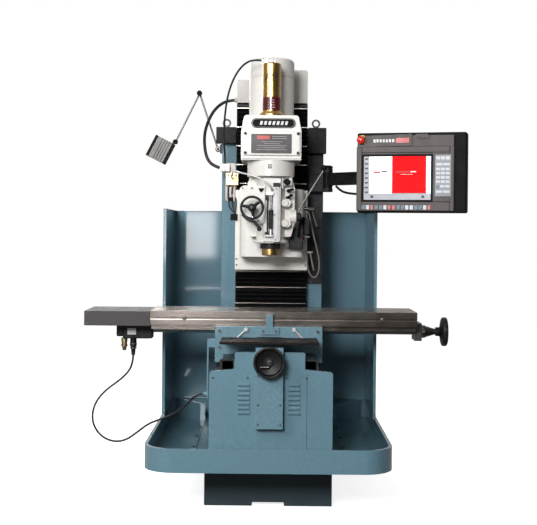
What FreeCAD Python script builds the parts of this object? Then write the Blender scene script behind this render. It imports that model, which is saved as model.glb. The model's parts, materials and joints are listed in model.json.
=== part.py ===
"""Vertical bed milling machine, in millimetres.

+X is the operator's right, +Y runs from the operator to the back, +Z is up.
The origin is the centre of the plinth's foot, on the floor.
"""
import FreeCAD, Part
import math
import os
import re

V = FreeCAD.Vector
doc = FreeCAD.newDocument("vertical_mill")

# Driving dimensions. Places in front of the origin are kept as positive distances.
SIZES = {
    "plinth_width": 600, "plinth_depth": 1180, "plinth_top": 226, "cast_wall": 25,
    "foot_size": 90, "foot_thick": 30, "anchor_radius": 9, "anchor_across": 480, "anchor_along": 1060,
    "bed_half": 255, "bed_front": 800, "bed_back": 548, "bed_top": 640,
    "way_inner": 145, "way_width": 70, "way_top": 708.8,
    "column_left": 260, "column_right": 275, "column_face": 97, "column_back": 556, "column_top": 1835,
    "mast_left": 182, "mast_right": 190, "mast_back": 300, "mast_top": 1965,
    "rail_width": 60, "rail_depth": 40, "rail_inset": 16,
    "sheet_thick": 4, "tray_half": 557, "guard_half": 547, "tray_front": 933, "tray_back": 554,
    "tray_rim": 332,
    "tray_corner": 140, "rim_flange": 15,
    "guard_front": 128, "guard_top": 1400,
    "panel_front": 823, "panel_left": 268, "panel_right": 287, "panel_top": 659, "panel_peak": 747,
    "drive_cover_front": 868, "drive_cover_top": 772,
    "saddle_left": 257, "saddle_right": 250, "saddle_front": 568, "saddle_back": 170,
    "saddle_bottom": 709, "saddle_top": 814.8,
    "table_left": 567, "table_length": 1269.5, "table_front": 523, "table_depth": 305,
    "table_top": 908, "slab_bottom": 840, "way_bottom": 815,
    "slot_width": 16, "slot_depth": 26, "slot_foot": 28, "slot_foot_height": 12, "slot_pitch": 90,
    "spindle_y": 371, "motor_y": 156, "screw_z": 806, "cross_screw_z": 711,
    "screw_radius": 16, "shaft_radius": 12, "cross_screw_radius": 14,
    "carriage_bottom": 1089, "carriage_top": 1500, "carriage_front": 83,
    "neck_left": 155, "neck_right": 165, "neck_front": 250,
    "quill_radius": 43, "quill_bottom": 1204, "quill_top": 1535, "housing_radius": 69,
    "housing_bottom": 1231, "head_top": 1630, "belt_top": 1846, "belt_half": 145, "belt_front": 483,
    "belt_back": 35, "belt_wall": 8,
    "motor_radius": 114, "motor_top": 2158, "drawbar_radius": 44.5, "drawbar_top": 2112,
    "bore_radius": 12.065, "nose_bottom": 1171,
    "hand_radius": 71.5, "fine_radius": 57.5,
    "pendant_x": 640, "pendant_y": 483, "pendant_z": 1577, "pendant_width": 470, "pendant_height": 370,
    "pendant_turn": 15,
    "cabinet_half": 350, "cabinet_depth": 244, "cabinet_bottom": 430, "cabinet_top": 1380,
    "lamp_y": 117,
}

sheet = doc.addObject("Spreadsheet::Sheet", "Dims")
for row, (alias, number) in enumerate(SIZES.items(), 1):
    sheet.set("A%d" % row, alias.replace("_", " "))
    sheet.set("B%d" % row, str(number))
    sheet.setAlias("B%d" % row, alias)
doc.recompute()


class Sizes:
    """The sheet's numbers, read by their aliases."""

    def __getattr__(self, alias):
        return float(sheet.get(alias))


d = Sizes()
nodes = []
ALONG = {
    "z": FreeCAD.Rotation(),
    "x": FreeCAD.Rotation(V(0, 1, 0), 90),
    "y": FreeCAD.Rotation(V(1, 0, 0), -90),
    "front": FreeCAD.Rotation(V(1, 0, 0), 90),
    "down": FreeCAD.Rotation(V(1, 0, 0), 180),
    "left": FreeCAD.Rotation(V(0, 1, 0), -90),
}


# ---------------------------------------------------------------- building blocks

def bind(obj, prop, size):
    """Ties a property to the sheet: a size is a number or a formula over the sheet's aliases."""
    formula = re.sub(r"[a-z][a-z_]*", lambda word: "Dims." + word.group(0), str(size))
    obj.setExpression(prop, formula)


def put(obj, at, along="z"):
    """Places an object, with its own +Z along the direction named."""
    obj.Placement = FreeCAD.Placement(V(0, 0, 0), ALONG[along])
    for prop, size in zip(("x", "y", "z"), at):
        bind(obj, "Placement.Base." + prop, size)
    return obj


def box(name, size, at):
    obj = doc.addObject("Part::Box", name)
    for prop, length in zip(("Length", "Width", "Height"), size):
        bind(obj, prop, length)
    return put(obj, at)


def span(name, low, high):
    """A box from its lowest corner to its highest one."""
    size = ["(%s) - (%s)" % (top, bottom) for bottom, top in zip(low, high)]
    return box(name, size, low)


def rod(name, radius, length, at, along="z"):
    obj = doc.addObject("Part::Cylinder", name)
    bind(obj, "Radius", radius)
    bind(obj, "Height", length)
    return put(obj, at, along)


def ball(name, radius, at):
    obj = doc.addObject("Part::Sphere", name)
    bind(obj, "Radius", radius)
    return put(obj, at)


def ring(name, radius, section, at, along="z"):
    obj = doc.addObject("Part::Torus", name)
    bind(obj, "Radius1", radius)
    bind(obj, "Radius2", section)
    return put(obj, at, along)


def bar(name, radius, start, end):
    """A round bar between two points."""
    start, end = V(*start), V(*end)
    obj = doc.addObject("Part::Cylinder", name)
    bind(obj, "Radius", radius)
    obj.Height = (end - start).Length
    obj.Placement = FreeCAD.Placement(start, FreeCAD.Rotation(V(0, 0, 1), end - start))
    return obj


def fuse(name, *parts):
    obj = doc.addObject("Part::MultiFuse", name)
    obj.Shapes = list(parts)
    return obj


def group(name, *parts):
    """Separate solids that share one node."""
    obj = doc.addObject("Part::Compound", name)
    obj.Links = list(parts)
    return obj


def cut(name, base, *tools):
    obj = doc.addObject("Part::Cut", name)
    obj.Base = base
    obj.Tool = tools[0] if len(tools) == 1 else fuse(name + "_tools", *tools)
    return obj


def outline(corners):
    """A closed outline from corners (x, y, radius)."""
    points = [V(x, y, 0) for x, y, _ in corners]
    starts, arcs = [], []
    for i, corner in enumerate(corners):
        here, radius = points[i], corner[2]
        back = (points[i - 1] - here).normalize()
        ahead = (points[(i + 1) % len(points)] - here).normalize()
        half = back.getAngle(ahead) / 2
        reach = radius / math.tan(half)
        starts.append((here + back * reach, here + ahead * reach))
        if radius:
            middle = (back + ahead).normalize() * (radius / math.sin(half) - radius)
            arcs.append(Part.Arc(starts[-1][0], here + middle, starts[-1][1]))
    lines = [
        Part.LineSegment(starts[i - 1][1], starts[i][0])
        for i in range(len(starts))
        if (starts[i - 1][1] - starts[i][0]).Length > 0.001
    ]
    return lines + arcs


def sketch_on(body, plane, geometry):
    sketch = body.newObject("Sketcher::SketchObject", body.Name + "_sketch")
    origin = [f for f in body.Origin.OriginFeatures if f.Role == plane][0]
    sketch.AttachmentSupport = [(origin, "")]
    sketch.MapMode = "FlatFace"
    sketch.addGeometry(geometry, False)
    return sketch


def pad(name, corners, length, at, plane="XY_Plane"):
    """An outline padded along +Z, or along +X from the YZ plane, or along -Y from the XZ plane."""
    body = doc.addObject("PartDesign::Body", name)
    sketch = sketch_on(body, plane, outline(corners))
    feature = body.newObject("PartDesign::Pad", name + "_pad")
    feature.Profile = sketch
    bind(feature, "Length", length)
    for prop, size in zip(("x", "y", "z"), at):
        bind(body, "Placement.Base." + prop, size)
    return body


def turned(name, corners, at, along="z"):
    """A turned piece: the outline (radius, height) goes round the piece's own +Z."""
    body = doc.addObject("PartDesign::Body", name)
    sketch = sketch_on(body, "XZ_Plane", outline([(r, z, 0) for r, z in corners]))
    feature = body.newObject("PartDesign::Revolution", name + "_turn")
    feature.Profile = sketch
    feature.ReferenceAxis = (sketch, ["V_Axis"])
    feature.Angle = 360
    return put(body, at, along)


def node(obj, name):
    """Names an object as one sub-part of the machine."""
    obj.Label = name
    nodes.append(obj)


# ---------------------------------------------------------------- frame

def base_casting():
    plinth = box("plinth", ("plinth_width", "plinth_depth", "plinth_top"),
                 ("-plinth_width / 2", "-plinth_depth / 2", 0))
    bed = span("bed", ("-bed_half", "-bed_front", "plinth_top"), ("bed_half", "bed_back", "bed_top"))
    ways = [
        span("way_" + side, (low, "-bed_front", "bed_top"), (low + " + way_width", 2, "way_top"))
        for side, low in (("left", "-way_inner - way_width"), ("right", "way_inner"))
    ]
    room = span("plinth_room", ("-plinth_width / 2 + cast_wall", "-plinth_depth / 2 + cast_wall", 0),
                ("plinth_width / 2 - cast_wall", "plinth_depth / 2 - cast_wall", "plinth_top - cast_wall"))
    bed_room = span("bed_room",
                    ("-bed_half + cast_wall", "-plinth_depth / 2 + cast_wall", "plinth_top - cast_wall"),
                    ("bed_half - cast_wall", "bed_back - cast_wall", "bed_top - cast_wall"))
    notch = box("foot_notch", (150, "plinth_depth", 17), (-75, "-plinth_depth / 2", 0))
    shell = cut("base_shell", fuse("base_block", plinth, bed, *ways), room, bed_room, notch)
    feet = []
    holes = []
    for i, (right, back) in enumerate(((-1, -1), (1, -1), (1, 1), (-1, 1))):
        x, y = "%d * anchor_across / 2" % right, "%d * anchor_along / 2" % back
        feet.append(box("foot_%d" % i, ("foot_size", "foot_size", "foot_thick"),
                        (x + " - foot_size / 2", y + " - foot_size / 2", 0)))
        holes.append(rod("anchor_%d" % i, "anchor_radius", "foot_thick", (x, y, 0)))
    node(cut("base", fuse("base_with_feet", shell, *feet), *holes), "base_casting")


def column():
    post = span("post", ("-column_left", "column_face", "bed_top"),
                ("column_right", "column_back", "column_top"))
    mast = span("mast", ("-mast_left", "column_face", "column_top"), ("mast_right", "mast_back", "mast_top"))
    rails = [
        span("rail_" + side, (low, "column_face - rail_depth", "bed_top + 72"),
             (low + " + rail_width", "column_face", "mast_top - 25"))
        for side, low in (("left", "-mast_left + rail_inset"),
                          ("right", "mast_right - rail_inset - rail_width"))
    ]
    room = span("post_room", ("-column_left + cast_wall", "column_face + cast_wall", "bed_top + cast_wall"),
                ("column_right - cast_wall", "column_back - cast_wall", "column_top - cast_wall"))
    mast_room = span("mast_room", ("-mast_left + cast_wall", "column_face + cast_wall",
                                   "column_top - cast_wall"),
                     ("mast_right - cast_wall", "mast_back - cast_wall", "mast_top - cast_wall"))
    window = rod("cable_window", 60, 200, (0, "column_back - 100", 1200), "y")
    node(cut("column_casting", fuse("column_block", post, mast, *rails), room, mast_room, window), "column")


def column_caps():
    left = span("cap_left", (-290, "column_face - 57", 1750), (-186, "column_face", "column_top"))
    right = span("cap_right", (194, "column_face - 57", 1700), (290, "column_face", "column_top"))
    node(group("caps", left, right), "column_caps")


def lifting_eyes():
    eyes = []
    for i, x in enumerate((-238, 238)):
        collar = rod("eye_collar_%d" % i, 14, 9, (x, 130, "column_top"))
        eye = ring("eye_ring_%d" % i, 18, 5, (x, 130, "column_top + 29"), "y")
        eyes.append(fuse("eye_%d" % i, collar, eye))
    node(group("eyes", *eyes), "lifting_eyes")


def z_ballscrew():
    screw = rod("z_screw_bar", "screw_radius", "mast_top - bed_top", (4, "column_face - 22", "bed_top"))
    ends = [
        span("z_bearing_" + level, (-36, "column_face - rail_depth", low), (44, "column_face", high))
        for level, low, high in (("low", "bed_top", "bed_top + 28"), ("high", "mast_top - 22", "mast_top"))
    ]
    node(fuse("z_screw", screw, *ends), "z_ballscrew")


def z_drive_cover():
    left, right, front, back = -d.mast_left, d.mast_right, 60, d.mast_back
    outer = [(left, 1965, 0), (right, 1965, 0), (right, 2140, 14), (-56, 2140, 14), (-56, 2087, 0),
             (left, 2087, 10)]
    inner = [(left + 4, 1965, 0), (right - 4, 1965, 0), (right - 4, 2136, 10), (-52, 2136, 10),
             (-52, 2083, 0),
             (left + 4, 2083, 6)]
    shell = pad("z_cover_shell", outer, back - front, (0, back, 0), "XZ_Plane")
    room = pad("z_cover_room", inner, back - front - 8, (0, back - 4, 0), "XZ_Plane")
    gland = rod("z_cover_gland", 13, 14, (left, 120, "mast_top + 20"), "left")
    node(fuse("z_cover", cut("z_cover_hollow", shell, room), gland), "z_drive_cover")


def rounded_pan(name, inset, low, high):
    """A solid of the tray's outline, a distance inside it."""
    half, front, back = d.tray_half - inset, d.tray_front - inset, d.tray_back - inset
    radius = d.tray_corner - inset
    corners = [(-half, -front, radius), (half, -front, radius), (half, back, 0), (-half, back, 0)]
    return pad(name, corners, "(%s) - (%s)" % (high, low), (0, 0, low))


def chip_tray():
    block = rounded_pan("tray_block", 0, "plinth_top", "tray_rim")
    mouth = rounded_pan("tray_mouth", d.rim_flange, "tray_rim - sheet_thick", "tray_rim")
    room = rounded_pan("tray_room", d.sheet_thick, "plinth_top + sheet_thick", "tray_rim - sheet_thick")
    gap = span("tray_gap", ("-bed_half - 2", "-bed_front - 2", "plinth_top"),
               ("bed_half + 2", "bed_back + 1", "plinth_top + sheet_thick"))
    notch = span("tray_notch", ("-bed_half - 2", "bed_back - 15", "tray_rim - sheet_thick"),
                 ("bed_half + 2", "bed_back + 1", "tray_rim"))
    node(cut("tray", block, mouth, room, gap, notch), "chip_tray")


def splash_guard(side, outer, inner):
    """A tall side panel with a return across the back and a folded edge at the front."""
    sign = -1 if side == "left" else 1
    name = "guard_" + side
    low, high = "tray_rim", "guard_top"
    x_low, x_high = sorted((outer, outer - sign * d.sheet_thick))
    panel = span(name + "_side", (x_low, "-guard_front", low), (x_high, "tray_back", high))
    e_low, e_high = sorted((outer, outer - sign * d.rim_flange))
    edge = span(name + "_edge", (e_low, "-guard_front", low), (e_high, "-guard_front + sheet_thick", high))
    b_low, b_high = sorted((outer, inner))
    back = span(name + "_back", (b_low, "tray_back - sheet_thick", low), (b_high, "tray_back", high))
    top = span(name + "_top", (e_low, "-guard_front", "guard_top - sheet_thick"), (e_high, "tray_back", high))
    lip = span(name + "_lip", (b_low, "tray_back - rim_flange", "guard_top - sheet_thick"),
               (b_high, "tray_back", high))
    node(fuse(name, panel, edge, back, top, lip), "splash_guard_" + side)


def tray_rails():
    parts = []
    floor = "plinth_top + sheet_thick"
    for side in (-1, 1):
        name = "tray_rail_%s" % ("left" if side < 0 else "right")
        strip = box(name + "_strip", (28, 794, 6), ("%d * 366 - 14" % side, -430, floor))
        holes = [rod(name + "_hole_%d" % i, 5, 6, (side * 366, -400 + 270 * i, floor)) for i in range(3)]
        gusset = [(side * 352, 364, 0), (side * 380, 364, 0), (side * 528, 545, 0), (side * 500, 545, 0)]
        brace = pad(name + "_gusset", gusset, "tray_rim - sheet_thick - plinth_top - 5", (0, 0, floor))
        parts.append(fuse(name, cut(name + "_drilled", strip, *holes), brace))
    node(group("rails", *parts), "tray_rails")


def front_panel():
    left, right = -d.panel_left, d.panel_right
    low, top, peak = d.plinth_top + d.sheet_thick, d.panel_top, d.panel_peak
    shape = [(left, low, 0), (right, low, 40), (right, top, 12), (162, top + 12, 0), (162, peak, 10),
             (-155, peak, 10), (-155, top + 12, 0), (left, top, 12)]
    skin = pad("panel_skin", shape, 23, (0, "-bed_front", 0), "XZ_Plane")
    inset = [(left + 3, low, 0), (right - 3, low, 38), (right - 3, top - 3, 9), (159, top + 6, 0),
             (159, peak - 3, 8), (-152, peak - 3, 8), (-152, top + 6, 0), (left + 3, top - 3, 9)]
    room = pad("panel_room", inset, 20, (0, "-bed_front", 0), "XZ_Plane")
    slots = [
        box("louvre_%d_%d" % (side, i), (50, 3, 5), (x, "-panel_front", 600 - 21 * i))
        for side, x in enumerate((-138, 88))
        for i in range(7)
    ]
    hole = rod("panel_hole", "cross_screw_radius + 0.5", 30, (0, "-panel_front - 2", "cross_screw_z"), "y")
    node(cut("panel", skin, room, hole, *slots), "front_panel")


def y_drive_cover():
    skin = span("y_cover_skin", (-60, "-drive_cover_front", 410), (63, "-panel_front", "drive_cover_top"))
    room = span("y_cover_room", (-57, "-drive_cover_front + 3", 413),
                (60, "-panel_front", "drive_cover_top - 3"))
    hole = rod("y_cover_hole", "cross_screw_radius + 0.5", 10,
               (0, "-drive_cover_front - 2", "cross_screw_z"), "y")
    node(cut("y_cover", skin, room, hole), "y_drive_cover")


def electrical_cabinet():
    back = "column_back + cabinet_depth"
    skin = span("cabinet_skin", ("-cabinet_half", "column_back", "cabinet_bottom"),
                ("cabinet_half", back, "cabinet_top"))
    room = span("cabinet_room", ("-cabinet_half + 3", "column_back + 3", "cabinet_bottom + 3"),
                ("cabinet_half - 3", back, "cabinet_top - 3"))
    knuckles = []
    for i, z in enumerate((520, 1240)):
        leaf = span("cabinet_leaf_%d" % i, ("-cabinet_half - 6", back + " - 12", z - 40),
                    ("-cabinet_half", back + " - 2", z - 0.5))
        knuckle = rod("cabinet_knuckle_%d" % i, 6, 39.5, ("-cabinet_half - 6", back + " - 4", z - 40))
        pin = rod("cabinet_pin_%d" % i, 3, 79, ("-cabinet_half - 6", back + " - 4", z - 40))
        knuckles += [leaf, knuckle, pin]
    node(fuse("cabinet", cut("cabinet_shell", skin, room), *knuckles), "electrical_cabinet")


def cabinet_door():
    back = "column_back + cabinet_depth"
    panel = span("door_panel", ("-cabinet_half + 4", back + " + 1", "cabinet_bottom"),
                 ("cabinet_half", back + " + 21", "cabinet_top"))
    room = span("door_room", ("-cabinet_half + 7", back + " + 1", "cabinet_bottom + 3"),
                ("cabinet_half - 3", back + " + 18", "cabinet_top - 3"))
    parts = [cut("door_shell", panel, room)]
    for i, z in enumerate((520, 1240)):
        knuckle = rod("door_knuckle_%d" % i, 6, 39, ("-cabinet_half - 6", back + " - 4", z + 0.5))
        leaf = span("door_leaf_%d" % i, ("-cabinet_half - 12", back + " - 4", z + 0.5),
                    ("-cabinet_half - 6", back + " + 18", z + 39.5))
        arm = span("door_arm_%d" % i, ("-cabinet_half - 12", back + " + 12", z + 0.5),
                   ("-cabinet_half + 4", back + " + 18", z + 39.5))
        hole = rod("door_hole_%d" % i, 3.1, 40, ("-cabinet_half - 6", back + " - 4", z))
        parts.append(cut("door_hinge_%d" % i, fuse("door_hinge_block_%d" % i, knuckle, leaf, arm), hole))
    handle = span("door_handle", (270, back + " + 21", 880), (300, back + " + 41", 1000))
    node(fuse("door", *parts, handle), "cabinet_door")


def bellows(name, low, high, folds):
    """A folded cover: a zigzag sheet across the slide."""
    near, far, skin = 6, 46, 3
    step = (high - low) / (2 * folds)
    front = [(-far if i % 2 else -near - 4, low + i * step, 0) for i in range(2 * folds + 1)]
    rear = [(y + skin + 2, z, 0) for y, z, _ in reversed(front)]
    obj = pad(name + "_sheet", [(y + 52, z, 0) for y, z, _ in front + rear], "mast_left + mast_right",
              ("-mast_left", 0, 0), "YZ_Plane")
    node(obj, name)


def pendant_bracket():
    block = span("bracket_block", (200, "column_face - 77", 1498), ("column_right", "column_face", 1622))
    lugs = [
        span("bracket_lug_%d" % i, ("column_right", "column_face - 65", z), (300, "column_face - 13", z + 22))
        for i, z in enumerate((1498, 1600))
    ]
    ears = [rod("bracket_ear_%d" % i, 26, 22, (300, "column_face - 39", z))
            for i, z in enumerate((1498, 1600))]
    pin = rod("bracket_pin", 12, 124, (300, "column_face - 39", 1498))
    node(fuse("bracket", block, *lugs, *ears, pin), "pendant_bracket")


# ---------------------------------------------------------------- saddle and table

def saddle():
    block = span("saddle_block", ("-saddle_left", "-saddle_front", "saddle_bottom"),
                 ("saddle_right", "-saddle_back", "saddle_top"))
    lip = span("saddle_lip", ("-saddle_left", "-saddle_front", "saddle_top"),
               ("saddle_right", "-table_front - 6", "slab_bottom - 0.2"))
    aprons = [
        span("apron_" + side, (low, "-saddle_front", 670), (high, "-saddle_back", "saddle_bottom"))
        for side, low, high in (("left", "-saddle_left", "-way_inner - way_width - 1"),
                                ("right", "way_inner + way_width + 1", "saddle_right"))
    ]
    nut = span("cross_nut", (-35, -410, 680), (35, -340, "saddle_bottom + 31"))
    channel = span("long_channel", ("-saddle_left", "-spindle_y - 28", 782),
                   ("saddle_right", "-spindle_y + 28", "saddle_top"))
    tunnel = span("cross_tunnel", (-40, "-saddle_front", "saddle_bottom"),
                  (40, "-saddle_back", "saddle_bottom + 31"))
    hole = rod("cross_nut_hole", "cross_screw_radius + 0.5", 100, (0, -420, "cross_screw_z"), "y")
    hollow = cut("saddle_hollow", fuse("saddle_body", block, lip, *aprons), channel, tunnel)
    node(cut("saddle_casting", fuse("saddle_with_nut", hollow, nut), hole), "saddle")


def y_way_cover():
    sheet_part = span("way_cover_sheet", (-222, -868, 785), (222, -600, 791))
    tongue = span("way_cover_tongue", (-60, -600, 785), (60, "-saddle_front", 791))
    roll = rod("way_cover_roll", 6, 444, (-222, -862, 791), "x")
    node(fuse("way_cover", sheet_part, tongue, roll), "y_way_cover")


def trip_bracket():
    foot = span("trip_foot", (-44, "-saddle_front - 12", 803), (45, "-saddle_front", 836))
    stem = span("trip_stem", (-15, "-saddle_front - 12", 836), (16, "-saddle_front", 895))
    hook = span("trip_hook", (-15, "-saddle_front", 880), (16, "-table_front - 8", 895))
    holes = [rod("trip_hole_%d" % i, 5, 12, (x, "-saddle_front - 12", 819), "y")
             for i, x in enumerate((-30, 30))]
    node(cut("trip", fuse("trip_block", foot, stem, hook), *holes), "trip_bracket")


def cable_bracket():
    tab = span("cable_tab", (-296, -520, 735), ("-saddle_left", -490, 775))
    strip = span("cable_strip", (-296, -520, 490), (-288, -490, 775))
    gland = turned("cable_gland", [(0, 0), (13, 0), (13, 8), (9, 10), (8, 20), (0, 20)], (-296, -505, 512),
                   "left")
    node(fuse("cable_arm", tab, strip, gland), "cable_bracket")


def lock_lever(side, x):
    sign = -1 if side == "left" else 1
    front = -d.saddle_front
    hub = rod("lock_hub_" + side, 9, 18, (x, front - 0.3, 827), "front")
    tip = (x + sign * 44, front - 11, 827 - 44)
    arm = bar("lock_arm_" + side, 4, (x, front - 11, 827), tip)
    knob = rod("lock_knob_" + side, 6.5, 14, (tip[0], front - 4, tip[2]), "front")
    node(fuse("lock_" + side, hub, arm, knob), "lock_lever_" + side)


def table():
    slab = span("table_slab", ("-table_left", "-table_front", "slab_bottom"),
                ("-table_left + table_length", "-table_front + table_depth", "table_top"))
    way = span("table_way", ("-table_left", "-spindle_y - 110", "way_bottom"),
               ("-table_left + table_length", "-spindle_y + 110", "slab_bottom"))
    cuts = []
    for i in (-1, 0, 1):
        y = "-spindle_y + %d * slot_pitch" % i
        cuts.append(span("slot_neck_%d" % (i + 1), ("-table_left", y + " - slot_width / 2",
                                                    "table_top - slot_depth"),
                         ("-table_left + table_length", y + " + slot_width / 2", "table_top")))
        cuts.append(span("slot_foot_%d" % (i + 1), ("-table_left", y + " - slot_foot / 2",
                                                    "table_top - slot_depth"),
                         ("-table_left + table_length", y + " + slot_foot / 2",
                          "table_top - slot_depth + slot_foot_height")))
    cuts.append(span("stop_slot", ("-table_left", "-table_front", 866),
                     ("-table_left + table_length", "-table_front + 8", 876)))
    cuts.append(span("screw_channel", ("-table_left", "-spindle_y - 24", "way_bottom"),
                     ("-table_left + table_length", "-spindle_y + 24", "way_bottom + 17")))
    node(cut("table_casting", fuse("table_block", slab, way), *cuts), "table")


def table_end_cover():
    skin = span("end_skin", (-882, "-table_front", 833), ("-table_left", "-table_front + table_depth", 903))
    room = span("end_room", (-878, "-table_front + 4", 837),
                ("-table_left", "-table_front + table_depth - 4", 899))
    node(cut("end_cover", skin, room), "table_end_cover")


def x_motor():
    motor = span("x_motor_body", (-713, "-spindle_y - 37", 762), ("-table_left - 2", "-spindle_y + 37", 833))
    rear = span("x_motor_rear", (-745, "-spindle_y - 29", 770), (-713, "-spindle_y + 29", 833))
    plugs = [
        turned("x_plug_%d" % i, [(0, 0), (16, 0), (16, 40), (12, 44), (9, end), (0, end)],
               (x, "-spindle_y", 762), "down")
        for i, (x, end) in enumerate(((-709, 62), (-665, 84)))
    ]
    node(fuse("x_servo", motor, rear, *plugs), "x_motor")


def x_bearing_bracket():
    right = "-table_left + table_length"
    plate = span("end_plate", (right, "-spindle_y - 59", 765), (right + " + 34.5", "-spindle_y + 59", 850))
    dial = turned("end_dial", [(0, 0), (31, 0), (31, 21), (28, 24), (15, 66), (15, 72), (0, 72)],
                  (right + " + 34.5", "-spindle_y", "screw_z"), "x")
    hole = rod("end_bore", "shaft_radius + 0.05", 120, (right + " - 1", "-spindle_y", "screw_z"), "x")
    node(cut("end_bracket", fuse("end_block", plate, dial), hole), "x_bearing_bracket")


def x_ballscrew():
    long_bar = rod("long_screw", "screw_radius", 1262, (-566, "-spindle_y", "screw_z"), "x")
    journal = rod("long_journal", "shaft_radius", 114.5, (696, "-spindle_y", "screw_z"), "x")
    node(fuse("x_screw", long_bar, journal), "x_ballscrew")


def handwheel(name, at, along):
    """A dished wheel with a heavy rim and a crank handle folded into the dish."""
    r = d.hand_radius - 1
    wheel = turned(name + "_wheel", [(0, 0), (22, 0), (22, 20), (r - 18, 30), (r - 6, 30), (r, 36), (r, 50),
                                     (r - 5, 55), (r - 12, 50), (r - 16, 40), (24, 32), (16, 34), (14, 42),
                                     (0, 42)],
                   at, along)
    return wheel


def x_handwheel():
    x = -d.table_left + d.table_length + 108.0
    wheel = handwheel("x_wheel", (x, "-spindle_y", "screw_z"), "x")
    grip = rod("x_wheel_grip", 8, 25, (x + 30, -d.spindle_y - 28, d.screw_z - 44), "x")
    node(fuse("x_wheel_all", wheel, grip), "x_handwheel")


def y_handwheel():
    y = -d.drive_cover_front - 0.5
    wheel = handwheel("y_wheel", (0, y, "cross_screw_z"), "front")
    grip = rod("y_wheel_grip", 7, 42, (-40, y - 46, d.cross_screw_z - 20), "x")
    node(fuse("y_wheel_all", wheel, grip), "y_handwheel")


def y_ballscrew():
    node(rod("cross_screw", "cross_screw_radius", "drive_cover_front + 0.5 - 10",
             (0, "-drive_cover_front - 0.5", "cross_screw_z"), "y"), "y_ballscrew")


# ---------------------------------------------------------------- head

def head_carriage():
    slide = span("carriage_block", ("-mast_left", "-carriage_front", "carriage_bottom"),
                 ("mast_right", "column_face - 2", "carriage_top"))
    left, right, front, back = -d.neck_left, d.neck_right, -d.neck_front, -d.carriage_front
    neck = pad("neck", [(left, front, 45), (right, front, 45), (right, back, 0), (left, back, 0)],
               "carriage_top - 1160", (0, 0, 1160))
    slots = [
        span("carriage_slot_" + side, (low + " - 0.5", "column_face - rail_depth - 0.5", "carriage_bottom"),
             (low + " + rail_width + 0.5", "column_face", "carriage_top"))
        for side, low in (("left", "-mast_left + rail_inset"),
                          ("right", "mast_right - rail_inset - rail_width"))
    ]
    hole = rod("carriage_nut", "screw_radius + 0.5", 600, (4, "column_face - 22", 1000))
    node(cut("carriage", fuse("carriage_solid", slide, neck), *slots, hole), "head_carriage")


def head_casting():
    y = "-spindle_y"
    nose = rod("head_nose", "housing_radius", "head_top - housing_bottom", (0, y, "housing_bottom"))
    collar = rod("head_collar", 115, 76, (0, y, "head_top - 76"))
    body = [(-100, 1262), (100, 1262), (118, 1330), (118, 1500), (104, 1554), (-104, 1554), (-118, 1500),
            (-118, 1330)]
    trunk = pad("head_trunk", [(x, z, 8) for x, z in body], "spindle_y - neck_front + 10",
                (0, "-neck_front", 0), "XZ_Plane")
    gear = pad("feed_box", [(-60, 1322, 30), (38, 1350, 10), (38, 1508, 14), (-150, 1508, 26),
                            (-150, 1372, 34)],
               "473 - 340", (0, -340, 0), "XZ_Plane")
    rib = span("stop_rib", (-34, -462, 1240), (48, y, 1545))
    bosses = [rod("boss_%d" % i, 20, 60, (78, -372, z), "front") for i, z in enumerate((1427, 1328))]
    hub = rod("lever_boss", 34, 30, (95, y, 1361), "x")
    bore = rod("quill_bore", "quill_radius + 0.05", 1554 - 1231, (0, y, "housing_bottom"))
    shaft = rod("spline_room", 30, 120, (0, y, 1540))
    lug = rod("air_fitting", 7, 30, (3, -460, 1492), "front")
    channel = span("stop_channel", (-27, -500, 1200), (45, -462, 1524))
    block = cut("head_block", fuse("head_solid", nose, collar, trunk, gear, rib, hub, *bosses), channel)
    node(cut("head", fuse("head_with_lug", block, lug), bore, shaft), "head_casting")


def belt_housing():
    half, front, back, wall = d.belt_half, -d.belt_front, -d.belt_back, d.belt_wall
    low, top, slope = d.head_top, d.belt_top, 15
    outer = [(-half, low, 4), (half, low, 4), (half, top - 78, 10), (half - slope, top, 16),
             (slope - half, top, 16),
             (-half, top - 78, 10)]
    inner = [(wall - half, low + wall, 0), (half - wall, low + wall, 0), (half - wall, top - 80, 6),
             (half - wall - slope, top - wall, 10), (slope + wall - half, top - wall, 10),
             (wall - half, top - 80, 6)]
    shell = pad("belt_shell", outer, back - front, (0, back, 0), "XZ_Plane")
    room = pad("belt_room", inner, back - front - 2 * wall, (0, back - wall, 0), "XZ_Plane")
    holes = [
        rod("belt_hole_low", 30, 20, (0, "-spindle_y", "head_top - 5")),
        rod("belt_hole_high", 30, 20, (0, "-spindle_y", "belt_top - 14")),
        rod("belt_hole_motor", 20, 20, (0, "-motor_y", "belt_top - 14")),
    ]
    node(cut("belt_box", shell, room, *holes), "belt_housing")


def belt_cover_plate():
    shape = [(-134, 1652, 8), (138, 1652, 8), (138, 1768, 8), (-134, 1768, 8)]
    plate = pad("belt_plate", shape, 12, (0, "-belt_front", 0), "XZ_Plane")
    badge = pad("badge", [(-96, 1783, 23), (115, 1783, 23), (115, 1831, 23), (-96, 1831, 23)], 6,
                (0, "-belt_front", 0), "XZ_Plane")
    node(group("belt_plates", plate, badge), "belt_cover_plate")


def drive_motor():
    r, top = d.motor_radius, d.motor_top - d.belt_top
    shell = turned("motor_shell", [(0, 0), (r, 0), (r, top - 26), (r - 10, top - 8), (r - 26, top), (0, top)],
                   (0, "-motor_y", "belt_top"))
    hole = rod("motor_bore", 14.05, 60, (0, "-motor_y", "belt_top"))
    node(cut("motor_case", shell, hole), "drive_motor")


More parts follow.
